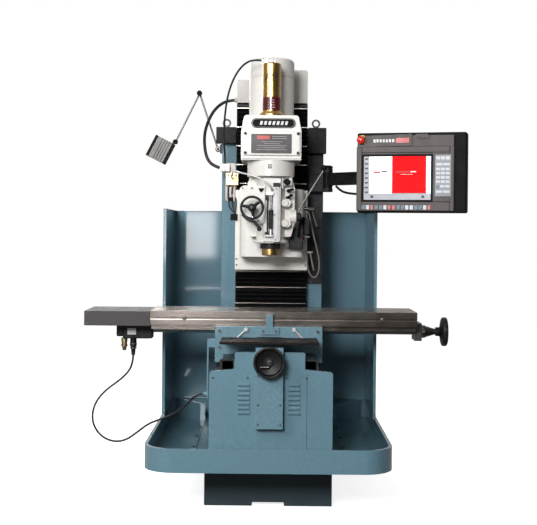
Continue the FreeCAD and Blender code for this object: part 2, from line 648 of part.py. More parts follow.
def power_drawbar():
    r, top = d.drawbar_radius, d.drawbar_top - d.belt_top
    case = turned("drawbar_case", [(0, 0), (62.5, 0), (62.5, 14), (r + 4, 27), (r, 27), (r, 100),
                                   (r - 2, 104),
                                   (r, 108), (r, top - 12), (r - 8, top), (0, top)],
                                   (0, "-spindle_y", "belt_top"))
    elbow = span("drawbar_elbow", (-40, "-spindle_y - 9", "drawbar_top - 2"),
                 (-18, "-spindle_y + 9", "drawbar_top + 21"))
    port = rod("drawbar_port", 7, 12, (-38, "-spindle_y", "drawbar_top + 12"), "left")
    room = rod("drawbar_room", 18, 60, (0, "-spindle_y", "belt_top"))
    node(cut("drawbar", fuse("drawbar_solid", case, elbow, port), room), "power_drawbar")


def quill_stop():
    front = -462
    scale = span("scale_bar", (15, front - 5, 1240), (41, front, 1520))
    top = span("stop_top", (-24, front - 22, 1462), (14, front, 1478))
    low = span("stop_low", (-24, front - 22, 1262), (14, front, 1272))
    screw = rod("stop_screw", 5, 192, (3, front - 12, 1271))
    nut = turned("stop_nut", [(0, 0), (10, 0), (11, 3), (11, 60), (10, 63), (9, 92), (0, 92)],
                 (3, front - 12, 1300))
    guide = rod("stop_guide", 3, 192, (-15, front - 12, 1271))
    node(fuse("stop", scale, top, low, screw, nut, guide), "quill_stop")


def valve_block():
    plate = span("valve_plate", (-236, -62, "carriage_top - 60"), ("-mast_left", -52, 1640))
    brass = span("valve_brass", (-232, -88, 1522), (-166, -62, 1588))
    white = span("valve_white", (-262, -88, 1594), (-212, -62, 1634))
    foot = span("valve_foot", ("-mast_left - 30", -80, "carriage_top - 60"),
                ("-mast_left", -52, "carriage_top - 20"))
    node(fuse("valves", plate, brass, white, foot), "valve_block")


def quill():
    tube = turned("quill_tube", [(22.05, 0), (48, 0), (48, 24), (d.quill_radius, 24), (d.quill_radius, 331),
                                 (22.05, 331)],
                  (0, "-spindle_y", "quill_bottom"))
    node(tube, "quill")


def spindle():
    low = d.nose_bottom
    corners = [(0, 70), (d.bore_radius, 64), (d.bore_radius, 0), (38, 0), (42, 4), (42, 1203.5 - low),
               (22, 1203.5 - low),
               (22, d.quill_top - low), (16, d.quill_top - low), (16, 1846 - low), (0, 1846 - low)]
    node(turned("spindle_bar", corners, (0, "-spindle_y", "nose_bottom")), "spindle")


def pulley(name, y, rim, bore, low_shaft, high_shaft):
    """A grooved belt pulley between two flanges."""
    corners = [(bore, low_shaft), (rim + 5, low_shaft), (rim + 5, low_shaft + 5), (rim, low_shaft + 5),
               (rim, high_shaft - 5), (rim + 5, high_shaft - 5), (rim + 5, high_shaft), (bore, high_shaft)]
    return turned(name, corners, (0, y, 0))


def pulleys():
    node(pulley("spindle_sheave", "-spindle_y", 60, 16.05, 1660, 1712), "spindle_pulley")
    sheave = pulley("motor_sheave", "-motor_y", 44, 13.9, 1660, 1712)
    shaft = rod("motor_shaft", 14, 220, (0, "-motor_y", 1660))
    node(fuse("motor_sheave_shaft", sheave, shaft), "motor_pulley")


def drive_belt():
    """A flat toothed belt round both pulleys, a hair outside their rims."""
    gap, thick, low, width = 0.4, 4, 1667, 38
    y_one, y_two = -d.spindle_y, -d.motor_y
    lean = math.asin((60 - 44) / (y_two - y_one))

    def loop(name, more):
        big, small = 60 + more, 44 + more
        c, s = math.cos(lean), math.sin(lean)
        ends = [V(big * c, y_one + big * s, 0), V(small * c, y_two + small * s, 0)]
        mirrored = [V(-p.x, p.y, 0) for p in ends]
        shape = [Part.LineSegment(ends[0], ends[1]), Part.Arc(ends[1], V(0, y_two + small, 0), mirrored[1]),
                 Part.LineSegment(mirrored[1], mirrored[0]),
                 Part.Arc(mirrored[0], V(0, y_one - big, 0), ends[0])]
        body = doc.addObject("PartDesign::Body", name)
        sketch = sketch_on(body, "XY_Plane", shape)
        feature = body.newObject("PartDesign::Pad", name + "_pad")
        feature.Profile = sketch
        feature.Length = width
        body.Placement.Base = V(0, 0, low)
        return body

    node(cut("belt_loop", loop("belt_outer", gap + thick), loop("belt_inner", gap)), "drive_belt")


def quill_feed_lever():
    start = 125.3
    hub = turned("lever_hub", [(0, 0), (22, 0), (22, 22), (18, 26), (0, 26)], (start, "-spindle_y", 1361),
                 "x")
    tip = (259, -d.spindle_y, 1601)
    arm = bar("lever_arm", 6, (start + 12, -d.spindle_y, 1361 + 8), tip)
    knob = ball("lever_knob", 15, tip)
    node(fuse("lever", hub, arm, knob), "quill_feed_lever")


def fine_handwheel():
    x, z, y = -88, 1400, -553
    rim = ring("fine_rim", "fine_radius - 6", 6, (x, y, z), "front")
    hub = turned("fine_hub", [(0, 0), (12, 0), (12, 60), (17, 66), (17, 96), (10, 100), (0, 100)],
                 (x, -473.3, z), "front")
    spokes = []
    for i in range(3):
        turn = math.radians(90 + 120 * i)
        reach = d.fine_radius - 5
        spokes.append(bar("fine_spoke_%d" % i, 5, (x, y, z),
                          (x + reach * math.cos(turn), y, z + reach * math.sin(turn))))
    crank = bar("fine_crank", 4.5, (x, -568, z), (-52, -568, 1302))
    knob = ball("fine_knob", 11, (-52, -568, 1300))
    node(fuse("fine_wheel", rim, hub, *spokes, crank, knob), "fine_handwheel")


def quill_lock_handle():
    x, y, z = d.neck_right + 0.3, -200, 1404
    stem = rod("lock_stem", 8, 58, (x, y, z), "x")
    arm = bar("lock_handle_arm", 5, (x + 50, y, z + 14), (x + 72, y - 6, z - 94))
    knob = ball("lock_handle_knob", 9, (x + 72, y - 6, z - 96))
    node(fuse("lock_handle", stem, arm, knob), "quill_lock_handle")


# ---------------------------------------------------------------- pendant and lamp

PENDANT = FreeCAD.Rotation(V(0, 0, 1), -d.pendant_turn)


def pendant_place(obj, across, depth, height):
    """Places a piece in the pendant's own frame: across it, behind its face, above its middle."""
    shift = PENDANT.multVec(V(across, depth, height))
    obj.Placement = FreeCAD.Placement(V(d.pendant_x, -d.pendant_y, d.pendant_z) + shift, PENDANT)
    return obj


def pendant_slab(name, low, high, depth, height):
    obj = doc.addObject("Part::Box", name)
    obj.Length = high - low
    obj.Width = depth[1] - depth[0]
    obj.Height = height[1] - height[0]
    return pendant_place(obj, low, depth[0], height[0])


def pendant_case():
    half = d.pendant_height / 2
    shell = pendant_slab("case_shell", -d.pendant_width / 2, 292, (20, 104), (-half - 8, half + 8))
    room = pendant_slab("case_room", -d.pendant_width / 2 + 4, 288, (20, 100), (-half - 4, half + 4))
    neck = pendant_slab("case_neck", -40, 40, (104, 150), (-78, -48))
    socket = pendant_place(rod("case_socket", 30, 30, (0, 0, 0)), 0, 158, -78)
    pin = pendant_place(rod("case_pin", 12, 130, (0, 0, 0)), 0, 158, -78)
    for obj in (socket, pin):
        for prop in ("x", "y", "z"):
            obj.setExpression("Placement.Base." + prop, None)
        pendant_place(obj, 0, 158, -78)
    node(fuse("case", cut("case_hollow", shell, room), neck, socket, pin), "pendant_case")


def pendant_face():
    half, wide = d.pendant_height / 2, d.pendant_width / 2
    bezel = pendant_slab("face_bezel", -wide, wide, (0, 20), (-half, half))
    stud = pendant_place(free_rod("face_hole", 8.1, 22), -212, -1, half - 28)
    stud.Placement.Rotation = PENDANT.multiply(ALONG["y"])
    node(cut("face", bezel, stud), "pendant_face")


def free_rod(name, radius, length):
    obj = doc.addObject("Part::Cylinder", name)
    obj.Radius = radius
    obj.Height = length
    return obj


def e_stop():
    half = d.pendant_height / 2
    cap = pendant_place(free_rod("stop_cap", 19, 16), -212, -10, half - 28)
    stem = pendant_place(free_rod("stop_stem", 8, 34), -212, 16, half - 28)
    for obj in (cap, stem):
        obj.Placement.Rotation = PENDANT.multiply(ALONG["front"])
    node(fuse("stop_button", cap, stem), "e_stop")


def pendant_arm():
    pivot = V(300, d.column_face - 39, 0)
    far = V(d.pendant_x, -d.pendant_y, 0) + PENDANT.multVec(V(0, 158, 0))
    reach = (far - pivot).Length
    heading = FreeCAD.Rotation(V(1, 0, 0), far - pivot)
    beam = doc.addObject("Part::Box", "arm_beam")
    beam.Length = reach - 6
    beam.Width = 40
    beam.Height = 66
    beam.Placement = FreeCAD.Placement(pivot + heading.multVec(V(3, -20, 0)) + V(0, 0, 1532), heading)
    hub = rod("arm_hub", 25, 79, (pivot.x, pivot.y, 1520.5))
    hub_bore = rod("arm_hub_bore", 12.08, 79, (pivot.x, pivot.y, 1520.5))
    eye = rod("arm_eye", 30, 79, (far.x, far.y, 1542))
    eye_bore = rod("arm_eye_bore", 12.08, 102, (far.x, far.y, 1528))
    node(cut("arm", fuse("arm_solid", beam, hub, eye), hub_bore, eye_bore), "pendant_arm")


LAMP_BASE, LAMP_ELBOW, LAMP_JOINT = (-284, 1724), (-383, 2017), (-509, 1758)


def lamp():
    y = d.lamp_y
    foot = span("lamp_foot", (-272, y - 15, 1700), ("-column_left", y + 15, 1748))
    stud = rod("lamp_stud", 6, 28, (LAMP_BASE[0], y - 14, LAMP_BASE[1]), "y")
    yoke = span("lamp_yoke", (-292, y + 8, 1712), (-272, y + 14, 1736))
    node(fuse("lamp_mount", foot, stud, yoke), "lamp_base")

    def arm(name, start, end, at_y):
        knuckles = [rod(name + "_knuckle_%d" % i, 11, 12, (x, at_y - 6, z), "y") for i,
                    (x, z) in enumerate((start, end))]
        link = bar(name + "_link", 5, (start[0], at_y, start[1]), (end[0], at_y, end[1]))
        bores = [rod(name + "_bore_%d" % i, 6.1, 14, (x, at_y - 7, z), "y") for i,
                 (x, z) in enumerate((start, end))]
        return fuse(name + "_solid", link, *knuckles), bores

    lower, bores = arm("lamp_lower", LAMP_BASE, LAMP_ELBOW, y)
    elbow_pin = rod("elbow_pin", 6, 32, (LAMP_ELBOW[0], y - 20, LAMP_ELBOW[1]), "y")
    drilled = cut("lamp_lower_drilled", lower, bores[0])
    node(fuse("lamp_lower_all", drilled, elbow_pin), "lamp_lower_arm")

    upper, bores = arm("lamp_upper", LAMP_ELBOW, LAMP_JOINT, y - 13)
    head_pin = rod("head_pin", 6, 32, (LAMP_JOINT[0], y - 20, LAMP_JOINT[1]), "y")
    drilled = cut("lamp_upper_drilled", upper, bores[0])
    node(fuse("lamp_upper_all", drilled, head_pin), "lamp_upper_arm")

    turn = FreeCAD.Rotation(V(0, 1, 0), 27)
    body = doc.addObject("Part::Box", "lamp_shell")
    body.Length, body.Width, body.Height = 105, 120, 120
    centre = V(-588, y - 10, 1715)
    body.Placement = FreeCAD.Placement(centre - turn.multVec(V(52.5, 60, 60)), turn)
    room = doc.addObject("Part::Box", "lamp_room")
    room.Length, room.Width, room.Height = 60, 108, 108
    room.Placement = FreeCAD.Placement(centre - turn.multVec(V(52.5, 54, 54)), turn)
    yoke = rod("lamp_head_knuckle", 11, 12, (LAMP_JOINT[0], y + 1, LAMP_JOINT[1]), "y")
    link = bar("lamp_head_link", 5.5, (-516, y + 7, 1755), (-560, y + 7, 1735))
    bore = rod("lamp_head_bore", 6.1, 14, (LAMP_JOINT[0], y, LAMP_JOINT[1]), "y")
    solid = fuse("lamp_head_solid", cut("lamp_hollow", body, room), yoke, link)
    node(cut("lamp_head_drilled", solid, bore), "lamp_head")


# ---------------------------------------------------------------- cords

CORDS = {
    "x_motor_cable": (5.0, [
        (-665, -371, 677.6), (-667, -372, 640), (-685, -376, 598), (-728, -384, 556), (-788, -392, 514),
        (-836, -400, 462), (-858, -405, 402), (-852, -410, 342), (-816, -414, 290), (-758, -418, 262),
        (-694, -421, 268), (-636, -426, 310), (-584, -432, 352), (-526, -442, 376), (-466, -455, 400),
        (-412, -472, 438), (-372, -490, 480), (-344, -502, 505), (-317.5, -505, 511.6)]),
    "drawbar_hose": (5.0, [
        (-50.8, -371, 2124), (-80, -369, 2127), (-122, -350, 2120), (-162, -318, 2088), (-196, -280, 2034),
        (-220, -238, 1968), (-234, -196, 1890), (-241, -156, 1808), (-241, -120, 1736), (-239, -92, 1688),
        (-237, -77, 1660), (-237, -75, 1634.6)]),
    "head_cables": (8.0, [
        (-197, 120, 1985), (-232, 119, 1982), (-272, 108, 1962), (-306, 84, 1924), (-330, 52, 1874),
        (-345, 14, 1820), (-349, -14, 1774), (-346, -38, 1732), (-340, -56, 1692), (-327, -68, 1654),
        (-301, -74, 1626), (-264.8, -75, 1613)]),
    "air_tube": (4.0, [
        (-200, -88.4, 1560), (-201, -122, 1562), (-199, -165, 1573), (-192, -222, 1583), (-180, -285, 1586),
        (-168, -350, 1582), (-157, -415, 1575), (-138, -470, 1567), (-106, -508, 1559), (-65, -529, 1546),
        (-30, -537, 1529), (-6, -533, 1510), (3, -515, 1496), (3, -491, 1492)]),
}


def cord(name, radius, route):
    """A tube along straight runs joined by arcs that are as large as their runs allow."""
    points = [V(*p) for p in route]
    runs = [(b - a).Length for a, b in zip(points, points[1:])]
    edges, here, radii = [], points[0], []
    for i in range(1, len(points) - 1):
        back = (points[i - 1] - points[i]).normalize()
        ahead = (points[i + 1] - points[i]).normalize()
        reach = 0.45 * min(runs[i - 1], runs[i])
        half = back.getAngle(ahead) / 2
        bend = reach * math.tan(half)
        start, end = points[i] + back * reach, points[i] + ahead * reach
        middle = points[i] + (back + ahead).normalize() * (bend / math.sin(half) - bend)
        edges.append(Part.LineSegment(here, start).toShape())
        edges.append(Part.Arc(start, middle, end).toShape())
        here = end
        radii.append(bend)
    edges.append(Part.LineSegment(here, points[-1]).toShape())
    path = Part.Wire(edges)
    circle = Part.Wire(Part.makeCircle(radius, points[0], points[1] - points[0]))
    tube = path.makePipeShell([circle], True, True)
    obj = doc.addObject("Part::Feature", name + "_tube")
    obj.Shape = tube
    share = tube.Volume / (math.pi * radius ** 2 * path.Length)
    print(name, "length %.0f" % path.Length, "volume share %.4f" % share,
          "tightest in diameters %.1f" % (min(radii) / (2 * radius)))
    node(obj, name)


def pendant_cable():
    """It runs under the arm, from a hole near the bracket to the pendant's back."""
    pivot = V(300, d.column_face - 39, 0)
    far = V(d.pendant_x, -d.pendant_y, 0) + PENDANT.multVec(V(0, 158, 0))
    along = (far - pivot).normalize()
    side = V(-along.y, along.x, 0)
    steps = [(60, 1527), (86, 1507), (122, 1493), (172, 1486), (227, 1484), (287, 1486), (338, 1494),
             (374, 1508),
             (400, 1527)]
    route = [pivot + along * s + side * (2 if 1 < i < 7 and i % 2 else 0) + V(0, 0, z) for i,
             (s, z) in enumerate(steps)]
    cord("pendant_cable", 6.0, [tuple(p) for p in route])


# ---------------------------------------------------------------- the machine

base_casting()
column()
column_caps()
lifting_eyes()
z_ballscrew()
z_drive_cover()
chip_tray()
splash_guard("left", -d.guard_half, -d.column_left)
splash_guard("right", d.guard_half, d.column_right)
tray_rails()
front_panel()
y_drive_cover()
electrical_cabinet()
cabinet_door()
bellows("lower_bellows", d.bed_top + 72, d.carriage_bottom, 16)
bellows("upper_bellows", d.carriage_top, d.mast_top - 22, 18)
pendant_bracket()
saddle()
y_way_cover()
trip_bracket()
cable_bracket()
lock_lever("left", -111)
lock_lever("right", 116)
table()
table_end_cover()
x_motor()
x_bearing_bracket()
x_ballscrew()
x_handwheel()
y_handwheel()
y_ballscrew()
head_carriage()
head_casting()
belt_housing()
belt_cover_plate()
drive_motor()
power_drawbar()
quill_stop()
valve_block()
quill()
spindle()
pulleys()
drive_belt()
quill_feed_lever()
fine_handwheel()
quill_lock_handle()
pendant_case()
pendant_face()
e_stop()
pendant_arm()
lamp()
for cord_name, (cord_radius, cord_route) in CORDS.items():
    cord(cord_name, cord_radius, cord_route)
pendant_cable()

doc.recompute()
faults = [o.Name for o in doc.Objects if "Invalid" in o.State or "Error" in o.State]
faults += [o.Label for o in nodes if o.Shape.isNull() or not o.Shape.isValid()]
if faults:
    raise RuntimeError("failed objects: %s" % ", ".join(faults))
os.makedirs("parts", exist_ok=True)
for obj in nodes:
    obj.Shape.exportStep("parts/%s.step" % obj.Label)
print(len(nodes), "nodes written")
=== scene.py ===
"""Looks of the vertical bed milling machine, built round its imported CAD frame. Sizes here are millimetres."""
import json
import math
from types import SimpleNamespace

import bmesh
import bpy
from mathutils import Matrix, Vector


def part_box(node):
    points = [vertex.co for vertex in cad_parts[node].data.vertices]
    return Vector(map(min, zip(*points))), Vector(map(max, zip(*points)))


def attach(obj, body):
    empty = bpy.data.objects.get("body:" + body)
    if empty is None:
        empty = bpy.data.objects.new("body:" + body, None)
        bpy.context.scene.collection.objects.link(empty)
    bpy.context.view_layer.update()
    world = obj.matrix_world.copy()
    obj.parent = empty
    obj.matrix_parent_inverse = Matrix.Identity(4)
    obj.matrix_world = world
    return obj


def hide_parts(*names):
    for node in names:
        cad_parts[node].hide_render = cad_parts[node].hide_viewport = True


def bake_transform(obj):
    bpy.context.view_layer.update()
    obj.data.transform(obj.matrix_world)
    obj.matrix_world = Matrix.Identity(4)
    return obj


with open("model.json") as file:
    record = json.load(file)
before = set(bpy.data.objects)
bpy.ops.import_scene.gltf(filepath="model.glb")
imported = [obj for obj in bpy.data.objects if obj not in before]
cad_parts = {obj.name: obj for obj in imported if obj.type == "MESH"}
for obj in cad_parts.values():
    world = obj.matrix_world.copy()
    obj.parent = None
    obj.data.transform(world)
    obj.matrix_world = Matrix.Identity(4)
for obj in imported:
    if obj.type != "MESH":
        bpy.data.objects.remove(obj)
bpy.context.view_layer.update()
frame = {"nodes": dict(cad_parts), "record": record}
MM = 0.001
SPINDLE_Y = -371
DIRECTIONS = {
    "+x": (1, 0, 0), "-x": (-1, 0, 0), "+y": (0, 1, 0), "-y": (0, -1, 0), "+z": (0, 0, 1), "-z": (0, 0, -1),
}
NODE_SLOTS = {s["node"]: s["material_slot"] for s in frame["record"]["subparts"]}
NODE_BODY = {n: b for b, nodes in frame["record"]["behaviour"]["bodies"].items() for n in nodes}


def place(node):
    """A CAD node's box in millimetres."""
    low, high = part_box(node)
    names = ("x0", "y0", "z0", "x1", "y1", "z1")
    return SimpleNamespace(**dict(zip(names, [v / MM for v in (*low, *high)])))


# ---------------------------------------------------------------- camera and light

def make_camera():
    """Level, with the frame lowered as the picture's framing needs."""
    data = bpy.data.cameras.new("camera")
    camera = bpy.data.objects.new("camera", data)
    bpy.context.scene.collection.objects.link(camera)
    data.sensor_width = 36
    data.lens = 74.2
    data.shift_y = -0.0624
    pan, roll = math.radians(0.1), math.radians(0.55)
    forward = Vector((-math.sin(pan), math.cos(pan), 0))
    level = Vector((math.cos(pan), math.sin(pan), 0))
    down = forward.cross(level)
    right = level * math.cos(roll) - down * math.sin(roll)
    up = right.cross(forward)
    turn = Matrix((right, up, -forward)).transposed()
    camera.matrix_world = Matrix.Translation((0, -5.783, 1.3)) @ turn.to_4x4()
    bpy.context.scene.camera = camera


def area_light(name, at, target, size, watts, color=(1, 1, 1)):
    data = bpy.data.lights.new(name, "AREA")
    data.shape = "RECTANGLE"
    data.size, data.size_y = size
    data.energy = watts
    data.color = color
    lamp = bpy.data.objects.new(name, data)
    bpy.context.scene.collection.objects.link(lamp)
    lamp.location = at
    lamp.rotation_mode = "QUATERNION"
    lamp.rotation_quaternion = (Vector(target) - Vector(at)).to_track_quat("-Z", "Y")


def make_studio():
    area_light("key_left", (-2.9, -3.6, 3.3), (0, -0.2, 1.1), (1.6, 1.6), 80)
    area_light("key_front", (-1.15, -6.0, 2.8), (0, 0, 1.1), (1.2, 1.2), 235)
    area_light("camera_left", (-0.88, -6.1, 1.24), (-0.2, 0, 1.2), (0.48, 0.56), 11)
    area_light("camera_low", (-0.8, -5.9, 0.46), (-0.3, 0, 0.86), (0.7, 0.3), 1.5)
    area_light("front_fill", (-0.3, -6.6, 2.9), (0, 0, 1.0), (2.4, 1.2), 24)
    area_light("top_soft", (-0.9, -0.6, 4.8), (0, -0.2, 1.0), (2.4, 2.4), 8)
    area_light("back_soft", (-1.4, 4.2, 3.0), (0, 0, 1.2), (3.0, 2.0), 70)
    world = bpy.data.worlds.new("studio")
    bpy.context.scene.world = world
    world.use_nodes = True
    tree = world.node_tree
    tree.nodes.clear()
    out = tree.nodes.new("ShaderNodeOutputWorld")
    mix = tree.nodes.new("ShaderNodeMixShader")
    path = tree.nodes.new("ShaderNodeLightPath")
    ambient, backdrop = tree.nodes.new("ShaderNodeBackground"), tree.nodes.new("ShaderNodeBackground")
    ambient.inputs["Color"].default_value = (1, 0.97, 0.94, 1)
    backdrop.inputs["Color"].default_value = (1, 1, 1, 1)
    backdrop.inputs["Strength"].default_value = 1.0
    split = node_of(tree, "ShaderNodeSeparateXYZ")
    tree.links.new(node_of(tree, "ShaderNodeTexCoord").outputs["Generated"], split.inputs[0])
    darkest = 0.035
    total = ranged(tree, split.outputs["X"], darkest, darkest, 0, 1)
    for axis, start, end, level in (("X", 0.1, -0.9, 0.16), ("Y", -0.1, 0.8, 0.4), ("Z", -0.1, 0.9, 0.13)):
        step = ranged(tree, split.outputs[axis], 0, level, start, end)
        plus = node_of(tree, "ShaderNodeMath", operation="ADD")
        tree.links.new(total, plus.inputs[0])
        tree.links.new(step, plus.inputs[1])
        total = plus.outputs[0]
    tree.links.new(total, ambient.inputs["Strength"])
    tree.links.new(path.outputs["Is Camera Ray"], mix.inputs[0])
    tree.links.new(ambient.outputs[0], mix.inputs[1])
    tree.links.new(backdrop.outputs[0], mix.inputs[2])
    tree.links.new(mix.outputs[0], out.inputs[0])
    view = bpy.context.scene.view_settings
    view.view_transform = "Standard"
    view.look = "None"


# ---------------------------------------------------------------- materials

def node_of(tree, kind, **values):
    made = tree.nodes.new(kind)
    for name, value in values.items():
        if name in made.inputs:
            made.inputs[name].default_value = value
        else:
            setattr(made, name, value)
    return made


def noise(tree, coords, scale, stretch=(1, 1, 1), detail=4, roughness=0.55):
    mapping = node_of(tree, "ShaderNodeMapping")
    mapping.inputs["Scale"].default_value = stretch
    tree.links.new(coords, mapping.inputs["Vector"])
    made = node_of(tree, "ShaderNodeTexNoise", Scale=scale, Detail=detail, Roughness=roughness)
    tree.links.new(mapping.outputs[0], made.inputs["Vector"])
    return made.outputs["Fac"]


def ranged(tree, value, low, high, start=0.3, end=0.7):
    made = node_of(tree, "ShaderNodeMapRange")
    for name, number in (("From Min", start), ("From Max", end), ("To Min", low), ("To Max", high)):
        made.inputs[name].default_value = number
    tree.links.new(value, made.inputs["Value"])
    return made.outputs[0]


def mixed(tree, factor, first, second):
    """Two colours mixed by a factor; each is a colour or a socket."""
    made = node_of(tree, "ShaderNodeMix", data_type="RGBA")
    tree.links.new(factor, made.inputs[0])
    for socket, color in ((made.inputs[6], first), (made.inputs[7], second)):
        if isinstance(color, bpy.types.NodeSocket):
            tree.links.new(color, socket)
        else:
            socket.default_value = (*color, 1)
    return made.outputs[2]


def shade(color, share):
    return tuple(min(1, c * share) for c in color)


def make_material(name, color, rough=0.4, metal=0.0, mottle=0.1, mottle_scale=5, stretch=(1, 1, 1), bump=0.03,
                  bump_scale=500, bump_stretch=(1, 1, 1), rough_vary=0.06, wear=None, coat=0.0, glow=0.0,
                  grime=0.0, see_through=0.0, shine=0.5):
    """A surface with colour variation, fine relief, uneven gloss, dirt and worn edges."""
    made = bpy.data.materials.new(name)
    made.use_nodes = True
    tree = made.node_tree
    shader = tree.nodes["Principled BSDF"]
    coords = node_of(tree, "ShaderNodeTexCoord").outputs["Object"]
    shader.inputs["Metallic"].default_value = metal
    shader.inputs["Specular IOR Level"].default_value = shine
    patches = ranged(tree, noise(tree, coords, mottle_scale, stretch), 0, 1)
    base = mixed(tree, patches, shade(color, 1 - mottle), shade(color, 1 + mottle))
    if grime:
        stains = ranged(tree, noise(tree, coords, 2.3, (1, 1, 0.5), 6, 0.7), 0, grime, 0.5, 0.75)
        base = mixed(tree, stains, base, shade(color, 0.35))
    if wear:
        edge = node_of(tree, "ShaderNodeNewGeometry").outputs["Pointiness"]
        breakup = node_of(tree, "ShaderNodeMath", operation="MULTIPLY")
        tree.links.new(ranged(tree, edge, 0, 1, 0.515, 0.56), breakup.inputs[0])
        tree.links.new(ranged(tree, noise(tree, coords, 60), 0, 0.8, 0.35, 0.7), breakup.inputs[1])
        base = mixed(tree, breakup.outputs[0], base, wear)
    tree.links.new(base, shader.inputs["Base Color"])
    gloss = ranged(tree, noise(tree, coords, mottle_scale * 3, stretch), max(0.02, rough - rough_vary),
                   rough + rough_vary)
    tree.links.new(gloss, shader.inputs["Roughness"])
    if bump:
        relief = node_of(tree, "ShaderNodeBump", Strength=bump, Distance=0.002)
        tree.links.new(noise(tree, coords, bump_scale, bump_stretch, 2), relief.inputs["Height"])
        tree.links.new(relief.outputs[0], shader.inputs["Normal"])
    if coat:
        shader.inputs["Coat Weight"].default_value = coat
        shader.inputs["Coat Roughness"].default_value = 0.06
    if see_through:
        shader.inputs["Transmission Weight"].default_value = see_through
        shader.inputs["IOR"].default_value = 1.45
    if glow:
        shader.inputs["Emission Color"].default_value = (*color, 1)
        shader.inputs["Emission Strength"].default_value = glow
    return made


